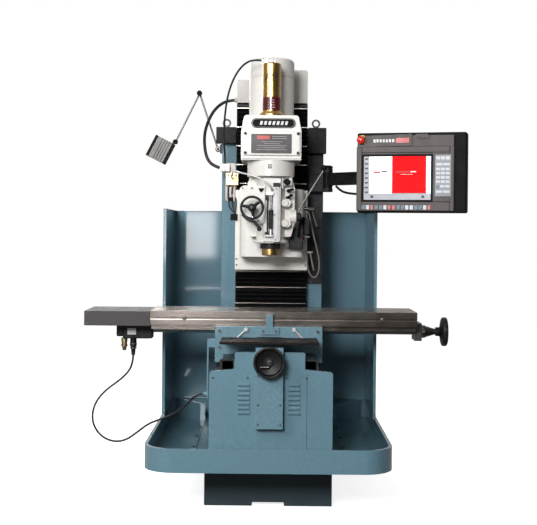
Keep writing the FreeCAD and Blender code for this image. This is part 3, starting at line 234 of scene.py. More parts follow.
BLUE = (0.115, 0.225, 0.285)
MATERIALS = {
    "blue_paint": dict(color=BLUE, rough=0.5, shine=0.2, mottle=0.02, bump=0.03, bump_scale=260, coat=0.9,
                       wear=(0.17, 0.28, 0.33), grime=0.02),
    "base_paint": dict(color=(0.03, 0.052, 0.066), rough=0.5, mottle=0.08, bump=0.2, bump_scale=160,
                       grime=0.15),
    "white_paint": dict(color=(0.74, 0.72, 0.68), rough=0.34, mottle=0.03, bump=0.10, bump_scale=180,
                        coat=0.2,
                        wear=(0.85, 0.84, 0.82), grime=0.06),
    # The drive cover's white paint darkened to grey: painted shade, so the cover stands apart from the white
    # backdrop.
    "cover_white_painted_shade": dict(color=(0.50, 0.47, 0.44), rough=0.4, mottle=0.03, bump=0.05, coat=0.2, grime=0.06),
    "black_paint": dict(color=(0.008, 0.008, 0.009), rough=0.42, mottle=0.2, bump=0.05, bump_scale=300,
                        wear=(0.05, 0.05, 0.05), shine=0.22),
    "rough_casting": dict(color=(0.03, 0.03, 0.032), rough=0.75, mottle=0.3, mottle_scale=30, bump=0.5,
                          bump_scale=90,
                          shine=0.2),
    "dark_cover": dict(color=(0.07, 0.064, 0.067), rough=0.55, mottle=0.03, bump=0.2, bump_scale=900,
                       shine=0.3),
    "brown_cover": dict(color=(0.010, 0.007, 0.006), rough=0.55, mottle=0.15, bump=0.05, shine=0.1),
    "pendant_grey": dict(color=(0.10, 0.088, 0.085), rough=0.5, mottle=0.05, bump=0.1, bump_scale=1200,
                         shine=0.3),
    "black_plastic": dict(color=(0.008, 0.008, 0.009), rough=0.6, mottle=0.1, bump=0.1, bump_scale=1000,
                          shine=0.1),
    "red_plastic": dict(color=(0.62, 0.012, 0.01), rough=0.22, mottle=0.05, bump=0.0, coat=0.5),
    "yellow_plastic": dict(color=(0.85, 0.52, 0.02), rough=0.35, mottle=0.04, bump=0.05),
    "bright_steel": dict(color=(0.36, 0.32, 0.29), rough=0.22, metal=1.0, mottle=0.04, mottle_scale=3,
                         bump=0.03, bump_scale=500, bump_stretch=(0.02, 1, 1), rough_vary=0.04),
    "turned_steel": dict(color=(0.40, 0.39, 0.38), rough=0.3, metal=1.0, mottle=0.1, bump=0.0),
    "dark_steel": dict(color=(0.14, 0.13, 0.125), rough=0.36, metal=1.0, mottle=0.15, bump=0.08,
                       bump_scale=600),
    "chrome": dict(color=(0.82, 0.82, 0.83), rough=0.09, metal=1.0, mottle=0.03, bump=0.0, rough_vary=0.03),
    "gold_anodised": dict(color=(0.66, 0.43, 0.17), rough=0.27, metal=1.0, mottle=0.06, bump=0.08,
                          bump_scale=800,
                          bump_stretch=(1, 1, 0.05)),
    "brass": dict(color=(0.52, 0.42, 0.24), rough=0.36, metal=1.0, mottle=0.1, bump=0.05),
    "lamp_shell": dict(color=(0.22, 0.21, 0.20), rough=0.5, metal=0.0, mottle=0.06, bump=0.0),
    "lever_steel": dict(color=(0.55, 0.54, 0.53), rough=0.35, metal=0.2, mottle=0.05, bump=0.0),
    "rod_steel": dict(color=(0.20, 0.185, 0.175), rough=0.35, metal=0.3, mottle=0.1, bump=0.0),
    "bellows_rubber": dict(color=(0.010, 0.010, 0.011), rough=0.42, mottle=0.2, bump=0.15, bump_scale=400),
    "cable_jacket": dict(color=(0.012, 0.012, 0.013), rough=0.5, mottle=0.2, bump=0.12, bump_scale=700),
    "clear_tube": dict(color=(0.72, 0.74, 0.73), rough=0.25, mottle=0.05, bump=0.02, coat=0.4),
    "screen_white": dict(color=(0.93, 0.93, 0.95), rough=0.5, mottle=0.01, bump=0.0, glow=0.8, shine=0.1),
    "screen_red": dict(color=(0.80, 0.004, 0.006), rough=0.5, mottle=0.02, bump=0.0, glow=0.9, shine=0.05),
    "screen_grey": dict(color=(0.30, 0.31, 0.34), rough=0.2, mottle=0.03, bump=0.0, glow=0.6),
    "key_white": dict(color=(0.62, 0.66, 0.70), rough=0.4, mottle=0.05, bump=0.1, bump_scale=900),
    "key_red": dict(color=(0.60, 0.16, 0.13), rough=0.4, mottle=0.05, bump=0.1, bump_scale=900),
    "key_ground": dict(color=(0.28, 0.30, 0.33), rough=0.45, mottle=0.04, bump=0.05),
    "label_grey": dict(color=(0.30, 0.29, 0.30), rough=0.35, mottle=0.02, bump=0.0),
    "hose_grey": dict(color=(0.16, 0.13, 0.13), rough=0.4, mottle=0.05, bump=0.05),
    "key_blue": dict(color=(0.14, 0.19, 0.24), rough=0.4, mottle=0.05, bump=0.1, bump_scale=900),
    "label_dark": dict(color=(0.02, 0.014, 0.018), rough=0.4, mottle=0.1, bump=0.03),
    "label_white": dict(color=(0.72, 0.72, 0.72), rough=0.35, mottle=0.02, bump=0.0),
    "label_red": dict(color=(0.50, 0.02, 0.018), rough=0.3, mottle=0.04, bump=0.0),
    "band_red": dict(color=(0.085, 0.006, 0.010), rough=0.25, mottle=0.1, bump=0.0, coat=0.4),
    "lens_glass": dict(color=(0.9, 0.93, 0.95), rough=0.08, mottle=0.01, bump=0.0, glow=0.25),
    "cabinet_grey": dict(color=(0.42, 0.44, 0.45), rough=0.42, mottle=0.04, bump=0.15, bump_scale=300,
                         wear=(0.6, 0.6, 0.6), grime=0.06),
}
made_materials = {}


def material(name):
    if name not in made_materials:
        made_materials[name] = make_material(name, **MATERIALS[name])
    return made_materials[name]


# ---------------------------------------------------------------- mesh tools

def finish_mesh(bm, name, surface, body, stands_for=(), sharp=32):
    """Turns a bmesh in millimetres into a shaded piece that rides on a body."""
    bmesh.ops.recalc_face_normals(bm, faces=bm.faces)
    mesh = bpy.data.meshes.new(name)
    bmesh.ops.scale(bm, vec=(MM, MM, MM), verts=bm.verts)
    bm.to_mesh(mesh)
    bm.free()
    mesh.polygons.foreach_set("use_smooth", [True] * len(mesh.polygons))
    mesh.set_sharp_from_angle(angle=math.radians(sharp))
    mesh.materials.append(material(surface))
    made = bpy.data.objects.new(name, mesh)
    bpy.context.scene.collection.objects.link(made)
    shading = made.modifiers.new("shading", "WEIGHTED_NORMAL")
    shading.keep_sharp = True
    shading.weight = 80
    if body:
        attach(made, body)
    if stands_for:
        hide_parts(*stands_for)
    return made


class Piece:
    """Collects solids of one material, in millimetres, into one piece of the machine."""

    def __init__(self, name, surface, body, within=None):
        self.name, self.surface, self.body = name, surface, body
        self.within = within or Matrix()
        self.bm = bmesh.new()

    def add(self, part, at=(0, 0, 0), along="+z", spin=0):
        aim = DIRECTIONS.get(along, along) if isinstance(along, str) else along
        turn = Vector((0, 0, 1)).rotation_difference(Vector(aim)).to_matrix().to_4x4()
        move = self.within @ Matrix.Translation(at) @ turn @ Matrix.Rotation(math.radians(spin), 4, "Z")
        bmesh.ops.transform(part, matrix=move, verts=part.verts)
        mesh = bpy.data.meshes.new("part")
        part.to_mesh(mesh)
        part.free()
        self.bm.from_mesh(mesh)
        bpy.data.meshes.remove(mesh)
        return self

    def box(self, low, high, round_by=1.0):
        part = bmesh.new()
        bmesh.ops.create_cube(part, size=1)
        size = [b - a for a, b in zip(low, high)]
        bmesh.ops.scale(part, vec=size, verts=part.verts)
        round_by = min(round_by, 0.45 * min(size))
        if round_by > 0.05:
            bmesh.ops.bevel(part, geom=part.edges[:], offset=round_by, segments=3, profile=0.5,
                            affect="EDGES")
        return self.add(part, [(a + b) / 2 for a, b in zip(low, high)])

    def plate(self, outline, thick, at, along="+z", spin=0, round_by=0.6):
        """An outline (x, y) made thick along its own Z."""
        part = bmesh.new()
        face = part.faces.new([part.verts.new((x, y, 0)) for x, y in outline])
        grown = bmesh.ops.extrude_face_region(part, geom=[face])
        top = [v for v in grown["geom"] if isinstance(v, bmesh.types.BMVert)]
        bmesh.ops.translate(part, vec=(0, 0, thick), verts=top)
        bmesh.ops.recalc_face_normals(part, faces=part.faces)
        rims = [e for e in part.edges if e.calc_face_angle(0) > 1.2]
        if round_by > 0.05:
            bmesh.ops.bevel(part, geom=rims, offset=round_by, segments=2, profile=0.5, affect="EDGES")
        return self.add(part, at, along, spin)

    def lathe(self, profile, at, along="+z", steps=40, spin=0, ripple=None):
        """A profile (radius, height) turned round its own Z; ripple(angle) scales the radius."""
        part = bmesh.new()
        rings = []
        for radius, height in profile:
            if radius < 0.001:
                rings.append([part.verts.new((0, 0, height))])
                continue
            ring = []
            for i in range(steps):
                angle = 2 * math.pi * i / steps
                reach = radius * (ripple(angle) if ripple else 1)
                ring.append(part.verts.new((reach * math.cos(angle), reach * math.sin(angle), height)))
            rings.append(ring)
        for low, high in zip(rings, rings[1:]):
            for i in range(steps):
                j = (i + 1) % steps
                corners = [low[i % len(low)], low[j % len(low)], high[j % len(high)], high[i % len(high)]]
                corners = list(dict.fromkeys(corners))
                if len(corners) > 2:
                    part.faces.new(corners)
        for ring in (rings[0], rings[-1]):
            if len(ring) > 1:
                part.faces.new(ring)
        return self.add(part, at, along, spin)

    def ball(self, radius, at, squash=1.0, along="+z"):
        steps = 10
        turns = [math.pi * i / steps - math.pi / 2 for i in range(steps + 1)]
        return self.lathe([(max(0, radius * math.cos(t)), radius * squash * math.sin(t)) for t in turns], at,
                          along, 24)

    def tube(self, points, radius, steps=12, closed=False):
        """A round bar through points; radius is one number or one for each point."""
        part = sweep([Vector(p) for p in points], radius, steps, closed)
        return self.add(part)

    def socket_screw(self, at, along, radius=5):
        r = radius
        return self.lathe([(0, 0.4 * r), (0.45 * r, 0.4 * r), (0.5 * r, 0.95 * r), (0.9 * r, 0.95 * r),
                           (r, 0.8 * r),
                           (r, 0)], at, along, 18)

    def hex_nut(self, at, along, radius=8, height=6):
        r = radius
        return self.lathe([(0.45 * r, height), (0.86 * r, height), (r, 0.8 * height), (r, 0.1 * height),
                           (0.9 * r, 0)],
                          at, along, 6)

    def done(self, *stands_for, sharp=32):
        return finish_mesh(self.bm, self.name, self.surface, self.body, stands_for, sharp)


def grooved(count, depth, level=0):
    """A ripple of even grooves round a turned piece, for lathe."""
    def scale(angle):
        return 1 - depth * (math.cos(count * angle) > level)
    return scale


def sweep(points, radius, steps=12, closed=False):
    part = bmesh.new()
    count = len(points)
    radii = radius if isinstance(radius, (list, tuple)) else [radius] * count
    normal = None
    rings = []
    for i, point in enumerate(points):
        before = points[i - 1] if (i or closed) else point
        after = points[(i + 1) % count] if (i < count - 1 or closed) else point
        heading = (after - before).normalized()
        if normal is None:
            normal = heading.orthogonal().normalized()
        normal = (normal - heading * normal.dot(heading)).normalized()
        side = heading.cross(normal)
        ring = []
        for k in range(steps):
            angle = 2 * math.pi * k / steps
            ring.append(part.verts.new(point + (normal * math.cos(angle) + side * math.sin(angle)) * radii[i]))
        rings.append(ring)
    pairs = list(zip(rings, rings[1:])) + ([(rings[-1], rings[0])] if closed else [])
    for low, high in pairs:
        for k in range(steps):
            part.faces.new([low[k], low[(k + 1) % steps], high[(k + 1) % steps], high[k]])
    if not closed:
        part.faces.new(rings[0])
        part.faces.new(rings[-1])
    return part


def recast(node, surface, edge=1.5, sharp=32):
    """A CAD node's own shape with its corners broken, in a finished material."""
    bm = bmesh.new()
    bm.from_mesh(frame["nodes"][node].data)
    bmesh.ops.scale(bm, vec=(1 / MM, 1 / MM, 1 / MM), verts=bm.verts)
    bmesh.ops.remove_doubles(bm, verts=bm.verts, dist=0.02)
    bmesh.ops.dissolve_limit(bm, angle_limit=math.radians(1.0), verts=bm.verts, edges=bm.edges)
    if edge:
        corners = [e for e in bm.edges if len(e.link_faces) == 2 and e.calc_face_angle(0) > math.radians(35)]
        bmesh.ops.bevel(bm, geom=corners, offset=edge, segments=2, profile=0.6, affect="EDGES",
                        clamp_overlap=False, miter_outer="ARC")
    return finish_mesh(bm, node + "_shape", surface, NODE_BODY[node], (node,), sharp)


def spline_line(route, fine=8):
    """Points along the smooth cord through a route's control points."""
    curve = bpy.data.curves.new("line", "CURVE")
    curve.dimensions = "3D"
    curve.resolution_u = fine
    spline = curve.splines.new("NURBS")
    spline.points.add(len(route) - 1)
    for point, place_of in zip(spline.points, route):
        point.co = (*place_of, 1)
    spline.order_u = 3
    spline.use_endpoint_u = True
    holder = bpy.data.objects.new("line", curve)
    mesh = bpy.data.meshes.new_from_object(holder)
    points = [v.co.copy() for v in mesh.vertices]
    bpy.data.objects.remove(holder)
    bpy.data.curves.remove(curve)
    bpy.data.meshes.remove(mesh)
    return points


# ---------------------------------------------------------------- cords

ROUTES = {
    "x_motor_cable": (5.0, [
        (-665, -371, 677.6), (-667, -372, 640), (-685, -376, 598), (-728, -384, 556), (-788, -392, 514),
        (-836, -400, 462), (-858, -405, 402), (-852, -410, 342), (-816, -414, 290), (-758, -418, 262),
        (-694, -421, 268), (-636, -426, 310), (-584, -432, 352), (-526, -442, 376), (-466, -455, 400),
        (-412, -472, 438), (-372, -490, 480), (-344, -502, 505), (-317.5, -505, 511.6)]),
    "drawbar_hose": (5.0, [
        (-50.8, -371, 2124), (-80, -369, 2127), (-122, -350, 2120), (-162, -318, 2088), (-196, -280, 2034),
        (-220, -238, 1968), (-234, -196, 1890), (-241, -156, 1808), (-241, -120, 1736), (-239, -92, 1688),
        (-237, -77, 1660), (-237, -75, 1634.6)]),
    "head_cables": (8.0, [
        (-197, 120, 1985), (-232, 119, 1982), (-272, 108, 1962), (-306, 84, 1924), (-330, 52, 1874),
        (-345, 14, 1820), (-349, -14, 1774), (-346, -38, 1732), (-340, -56, 1692), (-327, -68, 1654),
        (-301, -74, 1626), (-264.8, -75, 1613)]),
    "air_tube": (4.0, [
        (-200, -88.4, 1560), (-201, -122, 1562), (-199, -165, 1573), (-192, -222, 1583), (-180, -285, 1586),
        (-168, -350, 1582), (-157, -415, 1575), (-138, -470, 1567), (-106, -508, 1559), (-65, -529, 1546),
        (-30, -537, 1529), (-6, -533, 1510), (3, -515, 1496), (3, -491, 1492)]),
}
CORD_SURFACE = {"air_tube": "clear_tube"}


def pendant_cable_route():
    """Under the arm, from near the bracket to the pendant's back."""
    pivot = Vector((300, 58, 0))
    far = Vector((640, -483, 0)) + Matrix.Rotation(math.radians(-15), 3, "Z") @ Vector((0, 158, 0))
    along = (far - pivot).normalized()
    side = Vector((-along.y, along.x, 0))
    steps = [(60, 1527), (86, 1507), (122, 1493), (172, 1486), (227, 1484), (287, 1486), (338, 1494),
             (374, 1508),
             (400, 1527)]
    return [
        tuple(pivot + along * s + side * (2 if 1 < i < 7 and i % 2 else 0) + Vector((0, 0, z)))
        for i, (s, z) in enumerate(steps)
    ]


def make_cords():
    """Each cord is a tube along its route's smooth line; one that crosses a joint rides no body and has its place
    baked in.
    """
    routes = dict(ROUTES, pendant_cable=(6.0, pendant_cable_route()))
    rides = {"drawbar_hose": "head", "air_tube": "head", "pendant_cable": "pendant_arm"}
    crosses = {
        "x_motor_cable": ("saddle", "table", (-0.33, -0.5, 0.5), (-0.86, -0.5, 0.5)),
        "head_cables": ("frame", "head", (-0.25, 0.1, 1.97), (-0.25, 0.1, 1.62)),
    }
    for name, (radius, route) in routes.items():
        line = spline_line(route)
        length = sum((b - a).length for a, b in zip(line, line[1:]))
        bm = sweep(line, radius, 16)
        cord = finish_mesh(bm, name + "_run", CORD_SURFACE.get(name, "cable_jacket"), rides.get(name),
                           (name,), 60)
        if name in crosses:
            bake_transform(cord)
        [v * MM for v in route[0]]


# ---------------------------------------------------------------- frame

def make_castings():
    recast("base_casting", "base_paint", 4)
    recast("column", "blue_paint", 3)
    recast("column_caps", "rough_casting", 2)
    recast("lifting_eyes", "dark_steel", 0)
    recast("z_ballscrew", "turned_steel", 1)
    # The drive cover takes the white paint darkened with painted shade.
    recast("z_drive_cover", "cover_white_painted_shade", 1.5)
    recast("tray_rails", "blue_paint", 0.6)
    recast("chip_tray", "blue_paint", 1.0)
    for side in ("left", "right"):
        recast("splash_guard_" + side, "blue_paint", 0.8)
    recast("pendant_bracket", "black_paint", 2)
    recast("front_panel", "blue_paint", 0.8)
    recast("y_drive_cover", "blue_paint", 1.2)
    column = place("column")
    shield = Piece("column_shields", "black_paint", "frame")
    shield.box((192, 91.5, 1010), (column.x1 + 1.5, 96.5, 1702), 1)
    shield.box((column.x1 + 0.3, 92, 1010), (column.x1 + 3, 190, 1702), 1)
    shield.box((-184, 91.5, 1834), (192, 96.5, column.z1 - 1), 1)
    for z in (1060, 1240, 1420, 1640):
        shield.socket_screw((255, 91.5, z), "-y", 5)
    shield.done()
    # Black boxes on the bed's way tops and on the front faces beside the ways: painted shade standing for the
    # shadow there, not parts of the machine.
    shadow = Piece("bed_tops_painted_shade", "black_paint", "frame")
    shadow.box((-250, -798, 639), (-217, 90, 652), 2)
    shadow.box((217, -798, 639), (250, 90, 652), 2)
    shadow.box((-143, -798, 640), (143, 0, 652), 2)
    for side in (-1, 1):
        low, high = sorted((side * 160, side * 224))
        shadow.box((low, -800, 652), (high, -796.5, 711), 1)
    shadow.done()


def make_fasteners():
    """Screws on the covers, guards and tray, and the louvres of the front panel."""
    panel, cover = place("front_panel"), place("y_drive_cover")
    screws = Piece("panel_screws", "dark_steel", "frame")
    for z in (panel.z1 - 115, panel.z0 + 16):
        for x in (panel.x0 + 16, -96, 82, panel.x1 - 118):
            screws.socket_screw((x, panel.y0, z), "-y", 4.5)
    for z in (cover.z1 - 125, cover.z1 - 255, cover.z0 + 20):
        for x in (cover.x0 + 12, cover.x1 - 12):
            screws.socket_screw((x, cover.y0, z), "-y", 4)
    rail = place("tray_rails")
    for side in (-1, 1):
        for i in range(3):
            screws.socket_screw((side * 366, -400 + 270 * i, rail.z0 + 5), "+z", 7)
    for side in ("left", "right"):
        guard = place("splash_guard_" + side)
        sign = -1 if side == "left" else 1
        outer = guard.x0 if sign < 0 else guard.x1
        for z in (guard.z0 + 25, guard.z1 - 40):
            screws.socket_screw((outer - sign * 8, guard.y0, z), "-y", 4)
        for z in (guard.z0 + 60, guard.z0 + 500, guard.z1 - 60):
            screws.socket_screw((outer, guard.y1 - 60, z), "-x" if sign < 0 else "+x", 6)
    screws.done()
    hoods = Piece("louvre_hoods", "blue_paint", "frame")
    hood = [(0, 0), (3, 0), (8, 4), (9, 10), (6, 14), (0, 15)]
    for x in (-139, 87):
        for i in range(7):
            z = panel.z0 + 363.5 - 21 * i
            hoods.plate([(-h, -out) for out, h in hood], 52, (x, panel.y0, z), "+x", 0, 0.8)
    hoods.done()
    seam = Piece("panel_seam", "base_paint", "frame")
    seam.box((170, panel.y0 - 0.6, panel.z0 + 4), (172, panel.y0 + 0.4, panel.z1 - 92), 0.2)
    seam.done()


def make_bellows():
    """Folded covers with a bright strip every few folds, between the frame and the head; they ride no body and
    have their places baked in.
    """
    low, high = place("lower_bellows"), place("upper_bellows")
    for name, cad, folds, start, end in (
            ("lower", low, 18, low.z0, low.z1), ("upper", high, 18, high.z1, high.z0)):
        step = (cad.z1 - cad.z0) / (2 * folds)
        sheet = Piece(name + "_folds", "bellows_rubber", None)
        strips = Piece(name + "_strips", "bright_steel", None)
        outline = []
        for i in range(2 * folds + 1):
            outline.append((cad.y0 + (1 if i % 2 else 32), cad.z0 + i * step))
        rear = [(y + 5, z) for y, z in reversed(outline)]
        loop = outline + rear
        part = bmesh.new()
        ends = [[part.verts.new((x, y, z)) for y, z in loop] for x in (cad.x0 + 0.5, cad.x1 - 0.5)]
        count = len(loop)
        for i in range(count):
            j = (i + 1) % count
            part.faces.new([ends[0][i], ends[0][j], ends[1][j], ends[1][i]])
        half = len(outline)
        for side in ends:
            for i in range(half - 1):
                part.faces.new([side[i], side[i + 1], side[count - 2 - i], side[count - 1 - i]])
        sheet.add(part)
        for i in range(3, 2 * folds, 8):
            z = cad.z0 + i * step
            strips.box((cad.x0 + 0.5, cad.y0 + 0.2, z - 2.2), (cad.x1 - 0.5, cad.y0 + 3, z + 2.2), 0.8)
        for piece, nodes in ((sheet, (name + "_bellows",)), (strips, ())):
            made = piece.done(*nodes, sharp=20)
            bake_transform(made)


def make_cabinet():
    recast("electrical_cabinet", "cabinet_grey", 1.2)
    recast("cabinet_door", "cabinet_grey", 1.2)
    box = place("electrical_cabinet")
    lock = Piece("door_locks", "dark_steel", "cabinet_door")
    vents = Piece("door_vents", "black_plastic", "cabinet_door")
    for z in (box.z0 + 120, box.z1 - 120):
        lock.lathe([(16, 0), (16, 4), (13, 6), (5, 6), (4, 2), (0, 2)], (310, box.y1 + 18, z), "+y", 28)
    for z in (box.z0 + 90, box.z1 - 250):
        vents.box((-60, box.y1 + 18, z), (90, box.y1 + 26, z + 150), 4)
        for i in range(9):
            vents.box((-50, box.y1 + 25, z + 12 + 15 * i), (80, box.y1 + 29, z + 18 + 15 * i), 1.5)
    lock.done()
    vents.done()
    inside = Piece("cabinet_plate", "turned_steel", "frame")
    inside.box((-320, box.y0 + 12, box.z0 + 30), (320, box.y0 + 15, box.z1 - 30), 1)
    inside.done()
    drives = Piece("cabinet_drives", "black_plastic", "frame")
    for i in range(4):
        x = -290 + 150 * i
        drives.box((x, box.y0 + 15, 1060), (x + 110, box.y0 + 165, 1300), 4)
        drives.box((x + 10, box.y0 + 15, 700), (x + 90, box.y0 + 90, 860), 3)
        for k in range(8):
            drives.box((x + 12, box.y0 + 164, 1080 + 26 * k), (x + 98, box.y0 + 168, 1090 + 26 * k), 1)
    drives.done()


# ---------------------------------------------------------------- saddle and table

def make_saddle():
    recast("saddle", "blue_paint", 3)
    recast("y_way_cover", "brown_cover", 1.2)
    recast("trip_bracket", "blue_paint", 1.2)
    recast("cable_bracket", "blue_paint", 1)
    body, trip = place("saddle"), place("trip_bracket")
    screws = Piece("saddle_screws", "dark_steel", "saddle")
    for x in (-30, 30):
        screws.socket_screw((x, trip.y0 + 2, 819), "-y", 6)
    for x in (-235, 228):
        for z in (body.z0 + 70, body.z1 - 22):
            screws.socket_screw((x, body.y0, z), "-y", 7)
    for y in (-500, -380, -260):
        for x, way in ((body.x0, "-x"), (body.x1, "+x")):
            screws.hex_nut((x, y, body.z0 + 22), way, 8, 6)
    screws.done()
    lines = Piece("oil_lines", "brass", "saddle")
    for x, sign in ((body.x0, -1), (body.x1, 1)):
        lines.tube([(x + sign * 4, -450, 760), (x + sign * 9, -430, 762), (x + sign * 9, -340, 766),
                    (x + sign * 9, -250, 764), (x + sign * 3, -232, 760)], 2.2, 8)
        lines.hex_nut((x, -452, 760), (sign, 0, 0), 7, 8)
        lines.hex_nut((x, -230, 760), (sign, 0, 0), 7, 8)
    lines.done()
    for side in ("left", "right"):
        recast("lock_lever_" + side, "lever_steel", 0.8)


def make_table():
    recast("table", "bright_steel", 0.8)
    recast("table_end_cover", "dark_cover", 2)
    t, cover = place("table"), place("table_end_cover")
    trim = Piece("table_stops", "dark_steel", "table")
    for x in (t.x0 + 162, t.x1 - 164):
        trim.lathe([(0, 14), (7, 14), (9, 12), (9, 2), (7, 0), (0, 0)], (x, t.y0 + 1, 872), "-y", 28)
        trim.lathe([(0, 16), (3, 16), (4, 13)], (x, t.y0 + 1, 872), "-y", 6)
    for z in (cover.z0 + 12, cover.z1 - 12):
        for x in (cover.x0 + 14, cover.x1 - 14):
            trim.socket_screw((x, cover.y0, z), "-y", 4)
    for y in (t.y0 + 30, t.y0 + 110, t.y1 - 110, t.y1 - 30):
        trim.socket_screw((t.x1, y, 862), "+x", 5)
    trim.box((t.x1 - 104, t.y0 + 14, t.z1 - 0.6), (t.x1 - 66, t.y0 + 44, t.z1 + 0.35), 0.3)
    trim.done()
    wiper = Piece("table_way_wipers", "bellows_rubber", "saddle")
    saddle = place("saddle")
    for x in (saddle.x0 - 6, saddle.x1 - 1):
        wiper.box((x, -478, 817), (x + 7, -264, 838), 1.5)
    wiper.done()


def make_x_drive():
    """The table's motor with its ribs and plugs, and the bearing end with its dial."""
    m = place("x_motor")
    y = (m.y0 + m.y1) / 2
    body = Piece("x_motor_body", "black_paint", "table")
    body.box((m.x0 + 32, m.y0, 762), (m.x1, m.y1, 833), 5)
    body.box((m.x0, m.y0 + 8, 770), (m.x0 + 33, m.y1 - 8, 832), 7)
    for i in range(9):
        x = m.x0 + 46 + 12.5 * i
        body.box((x, m.y0 - 0, 760.5), (x + 4, m.y1, 764), 1)
    body.lathe([(10, 0), (16, 1), (16, 22), (17, 24), (17, 40), (14, 42), (11, 56), (9, 84), (0, 84)],
               (-665, y, 762), "-z", 28)
    body.done("x_motor")
    plug = Piece("x_motor_plugs", "brass", "table")
    plug.lathe([(0, 0), (15, 0), (16, 2), (16, 18), (14, 20), (14, 30), (16, 32), (16, 40), (12, 44),
                (9, 61), (0, 62)],
               (-709, y, 762), "-z", 28, ripple=grooved(24, 0.02))
    plug.done()
    collar = Piece("x_motor_collars", "turned_steel", "table")
    for z in (738, 716):
        collar.lathe([(15, 0), (17.6, 1), (17.6, 5), (15, 6)], (-665, y, z), "-z", 28)
    collar.done()
    label = Piece("x_motor_label", "label_white", "table")
    label.box((-690, m.y0 - 0.6, 781), (-648, m.y0 + 0.2, 812), 0.2)
    label.done()
    recast("x_bearing_bracket", "dark_steel", 1)
    dial = place("x_bearing_bracket")
    marks = Piece("x_dial_marks", "label_white", "table")
    for i in range(50):
        a = 2 * math.pi * i / 50
        reach = 31.1
        spot = Vector((dial.x0 + 40, y + reach * math.cos(a), 806 + reach * math.sin(a)))
        out = Vector((0, math.cos(a), math.sin(a)))
        side = Vector((0, -out.z, out.y))
        length = 9 if i % 5 == 0 else 5
        part = bmesh.new()
        corners = [spot + side * 0.4, spot - side * 0.4, spot - side * 0.4 + Vector((length, 0, 0)),
                   spot + side * 0.4 + Vector((length, 0, 0))]
        raised = [c + out * 0.3 for c in corners]
        verts = [part.verts.new(c) for c in corners + raised]
        for face in ((0, 1, 2, 3), (4, 7, 6, 5), (0, 4, 5, 1), (1, 5, 6, 2), (2, 6, 7, 3), (3, 7, 4, 0)):
            part.faces.new([verts[k] for k in face])
        marks.add(part)
    marks.done()
    recast("x_ballscrew", "turned_steel", 0.5)


def make_handwheel(node, body, along, center, reach):
    """A dished black wheel with its rim, and a polished nut."""
    r = reach
    wheel = Piece(node + "_dish", "black_paint", body)
    wheel.lathe([(0, 0), (20, 0), (22, 2), (22, 18), (24, 20), (r - 20, 29), (r - 8, 29), (r - 1.5, 33),
                 (r, 37), (r, 48),
                 (r - 2, 53), (r - 6, 55), (r - 10, 53), (r - 13, 48), (r - 17, 40), (26, 33), (18, 34),
                 (16, 36), (15, 41),
                 (0, 41)], center, along, 64)
    wheel.done(node)
    nut = Piece(node + "_nut", "chrome", body)
    nut.lathe([(0, 50), (6, 50), (9, 47), (9, 41), (12, 40), (13, 35.5)], center, along, 24)
    nut.done()


def make_handwheels():
    x_wheel, y_wheel = place("x_handwheel"), place("y_handwheel")
    y = (place("x_motor").y0 + place("x_motor").y1) / 2
    make_handwheel("x_handwheel", "long_feed", "+x", (x_wheel.x0, y, 806), 70.5)
    make_handwheel("y_handwheel", "cross_feed", "-y", (0, y_wheel.y1, 711), 70.5)
    grip = Piece("y_wheel_grip", "dark_steel", "cross_feed")
    grip.lathe([(5, 0), (7, 2), (7, 10), (6, 26), (7, 38), (4, 42), (0, 42)], (-40, y_wheel.y1 - 46, 691),
               "+x", 24)
    grip.done()
    recast("y_ballscrew", "turned_steel", 0.5)


# ---------------------------------------------------------------- head

def make_head():
    recast("head_carriage", "white_paint", 2.5)
    recast("head_casting", "white_paint", 2.5)
    recast("belt_housing", "white_paint", 3)
    casting, carriage = place("head_casting"), place("head_carriage")
    details = Piece("head_bosses", "white_paint", "head")
    for z in (1427, 1328):
        details.lathe([(12, 66), (15, 66), (19, 62), (21, 54), (22, 0), (12, 0)], (69, -372, z), "-y", 36)
    details.lathe([(80, 0), (84, 3), (84, 12), (76, 16), (69.5, 17)], (0, SPINDLE_Y, 1232), "+z", 56)
    details.box((52, -440, 1496), (60, -372, 1598), 2)
    details.box((58, -420, 1510), (104, -372, 1600), 4)
    details.hex_nut((113, -330, 1414), "+x", 13, 9)
    details.done()
    holes = Piece("head_sockets", "dark_steel", "head")
    for z in (1427, 1328):
        holes.lathe([(0, 58), (9, 58), (11, 62), (13, 62), (13, 50)], (69, -372, z), "-y", 6)
    for angle in range(0, 360, 60):
        a = math.radians(angle + 30)
        holes.socket_screw((102 * math.cos(a), SPINDLE_Y + 102 * math.sin(a), 1556), "-z", 5)
    for x, z in ((-136, 1496), (-136, 1388), (-91, 1496), (-60, 1340)):
        holes.socket_screw((x, casting.y0 + 11, z), "-y", 4)
    for z in (carriage.z0 + 30, carriage.z0 + 60):
        for x in (carriage.x0 + 14, carriage.x1 - 14):
            holes.socket_screw((x, carriage.y0, z), "-y", 5)
    holes.box((-15, -487, 1590), (3, -481, 1611), 1)
    holes.lathe([(0, 0), (10, 0), (10, 3), (8, 5), (0, 5)], (-6, -485, 1600), "-y", 24)
    holes.done()
    knobs = Piece("head_knobs", "black_plastic", "head")
    grooves = grooved(10, 0.06, 0.3)
    knobs.lathe([(0, 24), (11, 24), (15, 20), (16, 5), (13, 0)], (78, -420, 1529), "-y", 40, ripple=grooves)
    knobs.box((62, -426, 1564), (98, -418, 1592), 2)
    for centre, tip in (((84, -400, 1486), (104, -432, 1492)), ((80, -400, 1452), (100, -432, 1464))):
        knobs.tube([centre, (centre[0] + 6, -420, centre[2] + 2), tip], [8, 7, 6], 12)
        knobs.ball(9, tip, 0.8)
    knobs.plate([(-14, 8), (14, 8), (3, -9), (-6, -9)], 5, (-46, casting.y0 + 11, 1487), "-y", 0, 0.8)
    knobs.done()
    window = Piece("speed_window", "label_dark", "head")
    window.box((66, -428, 1568), (94, -425, 1588), 0.6)
    window.done()


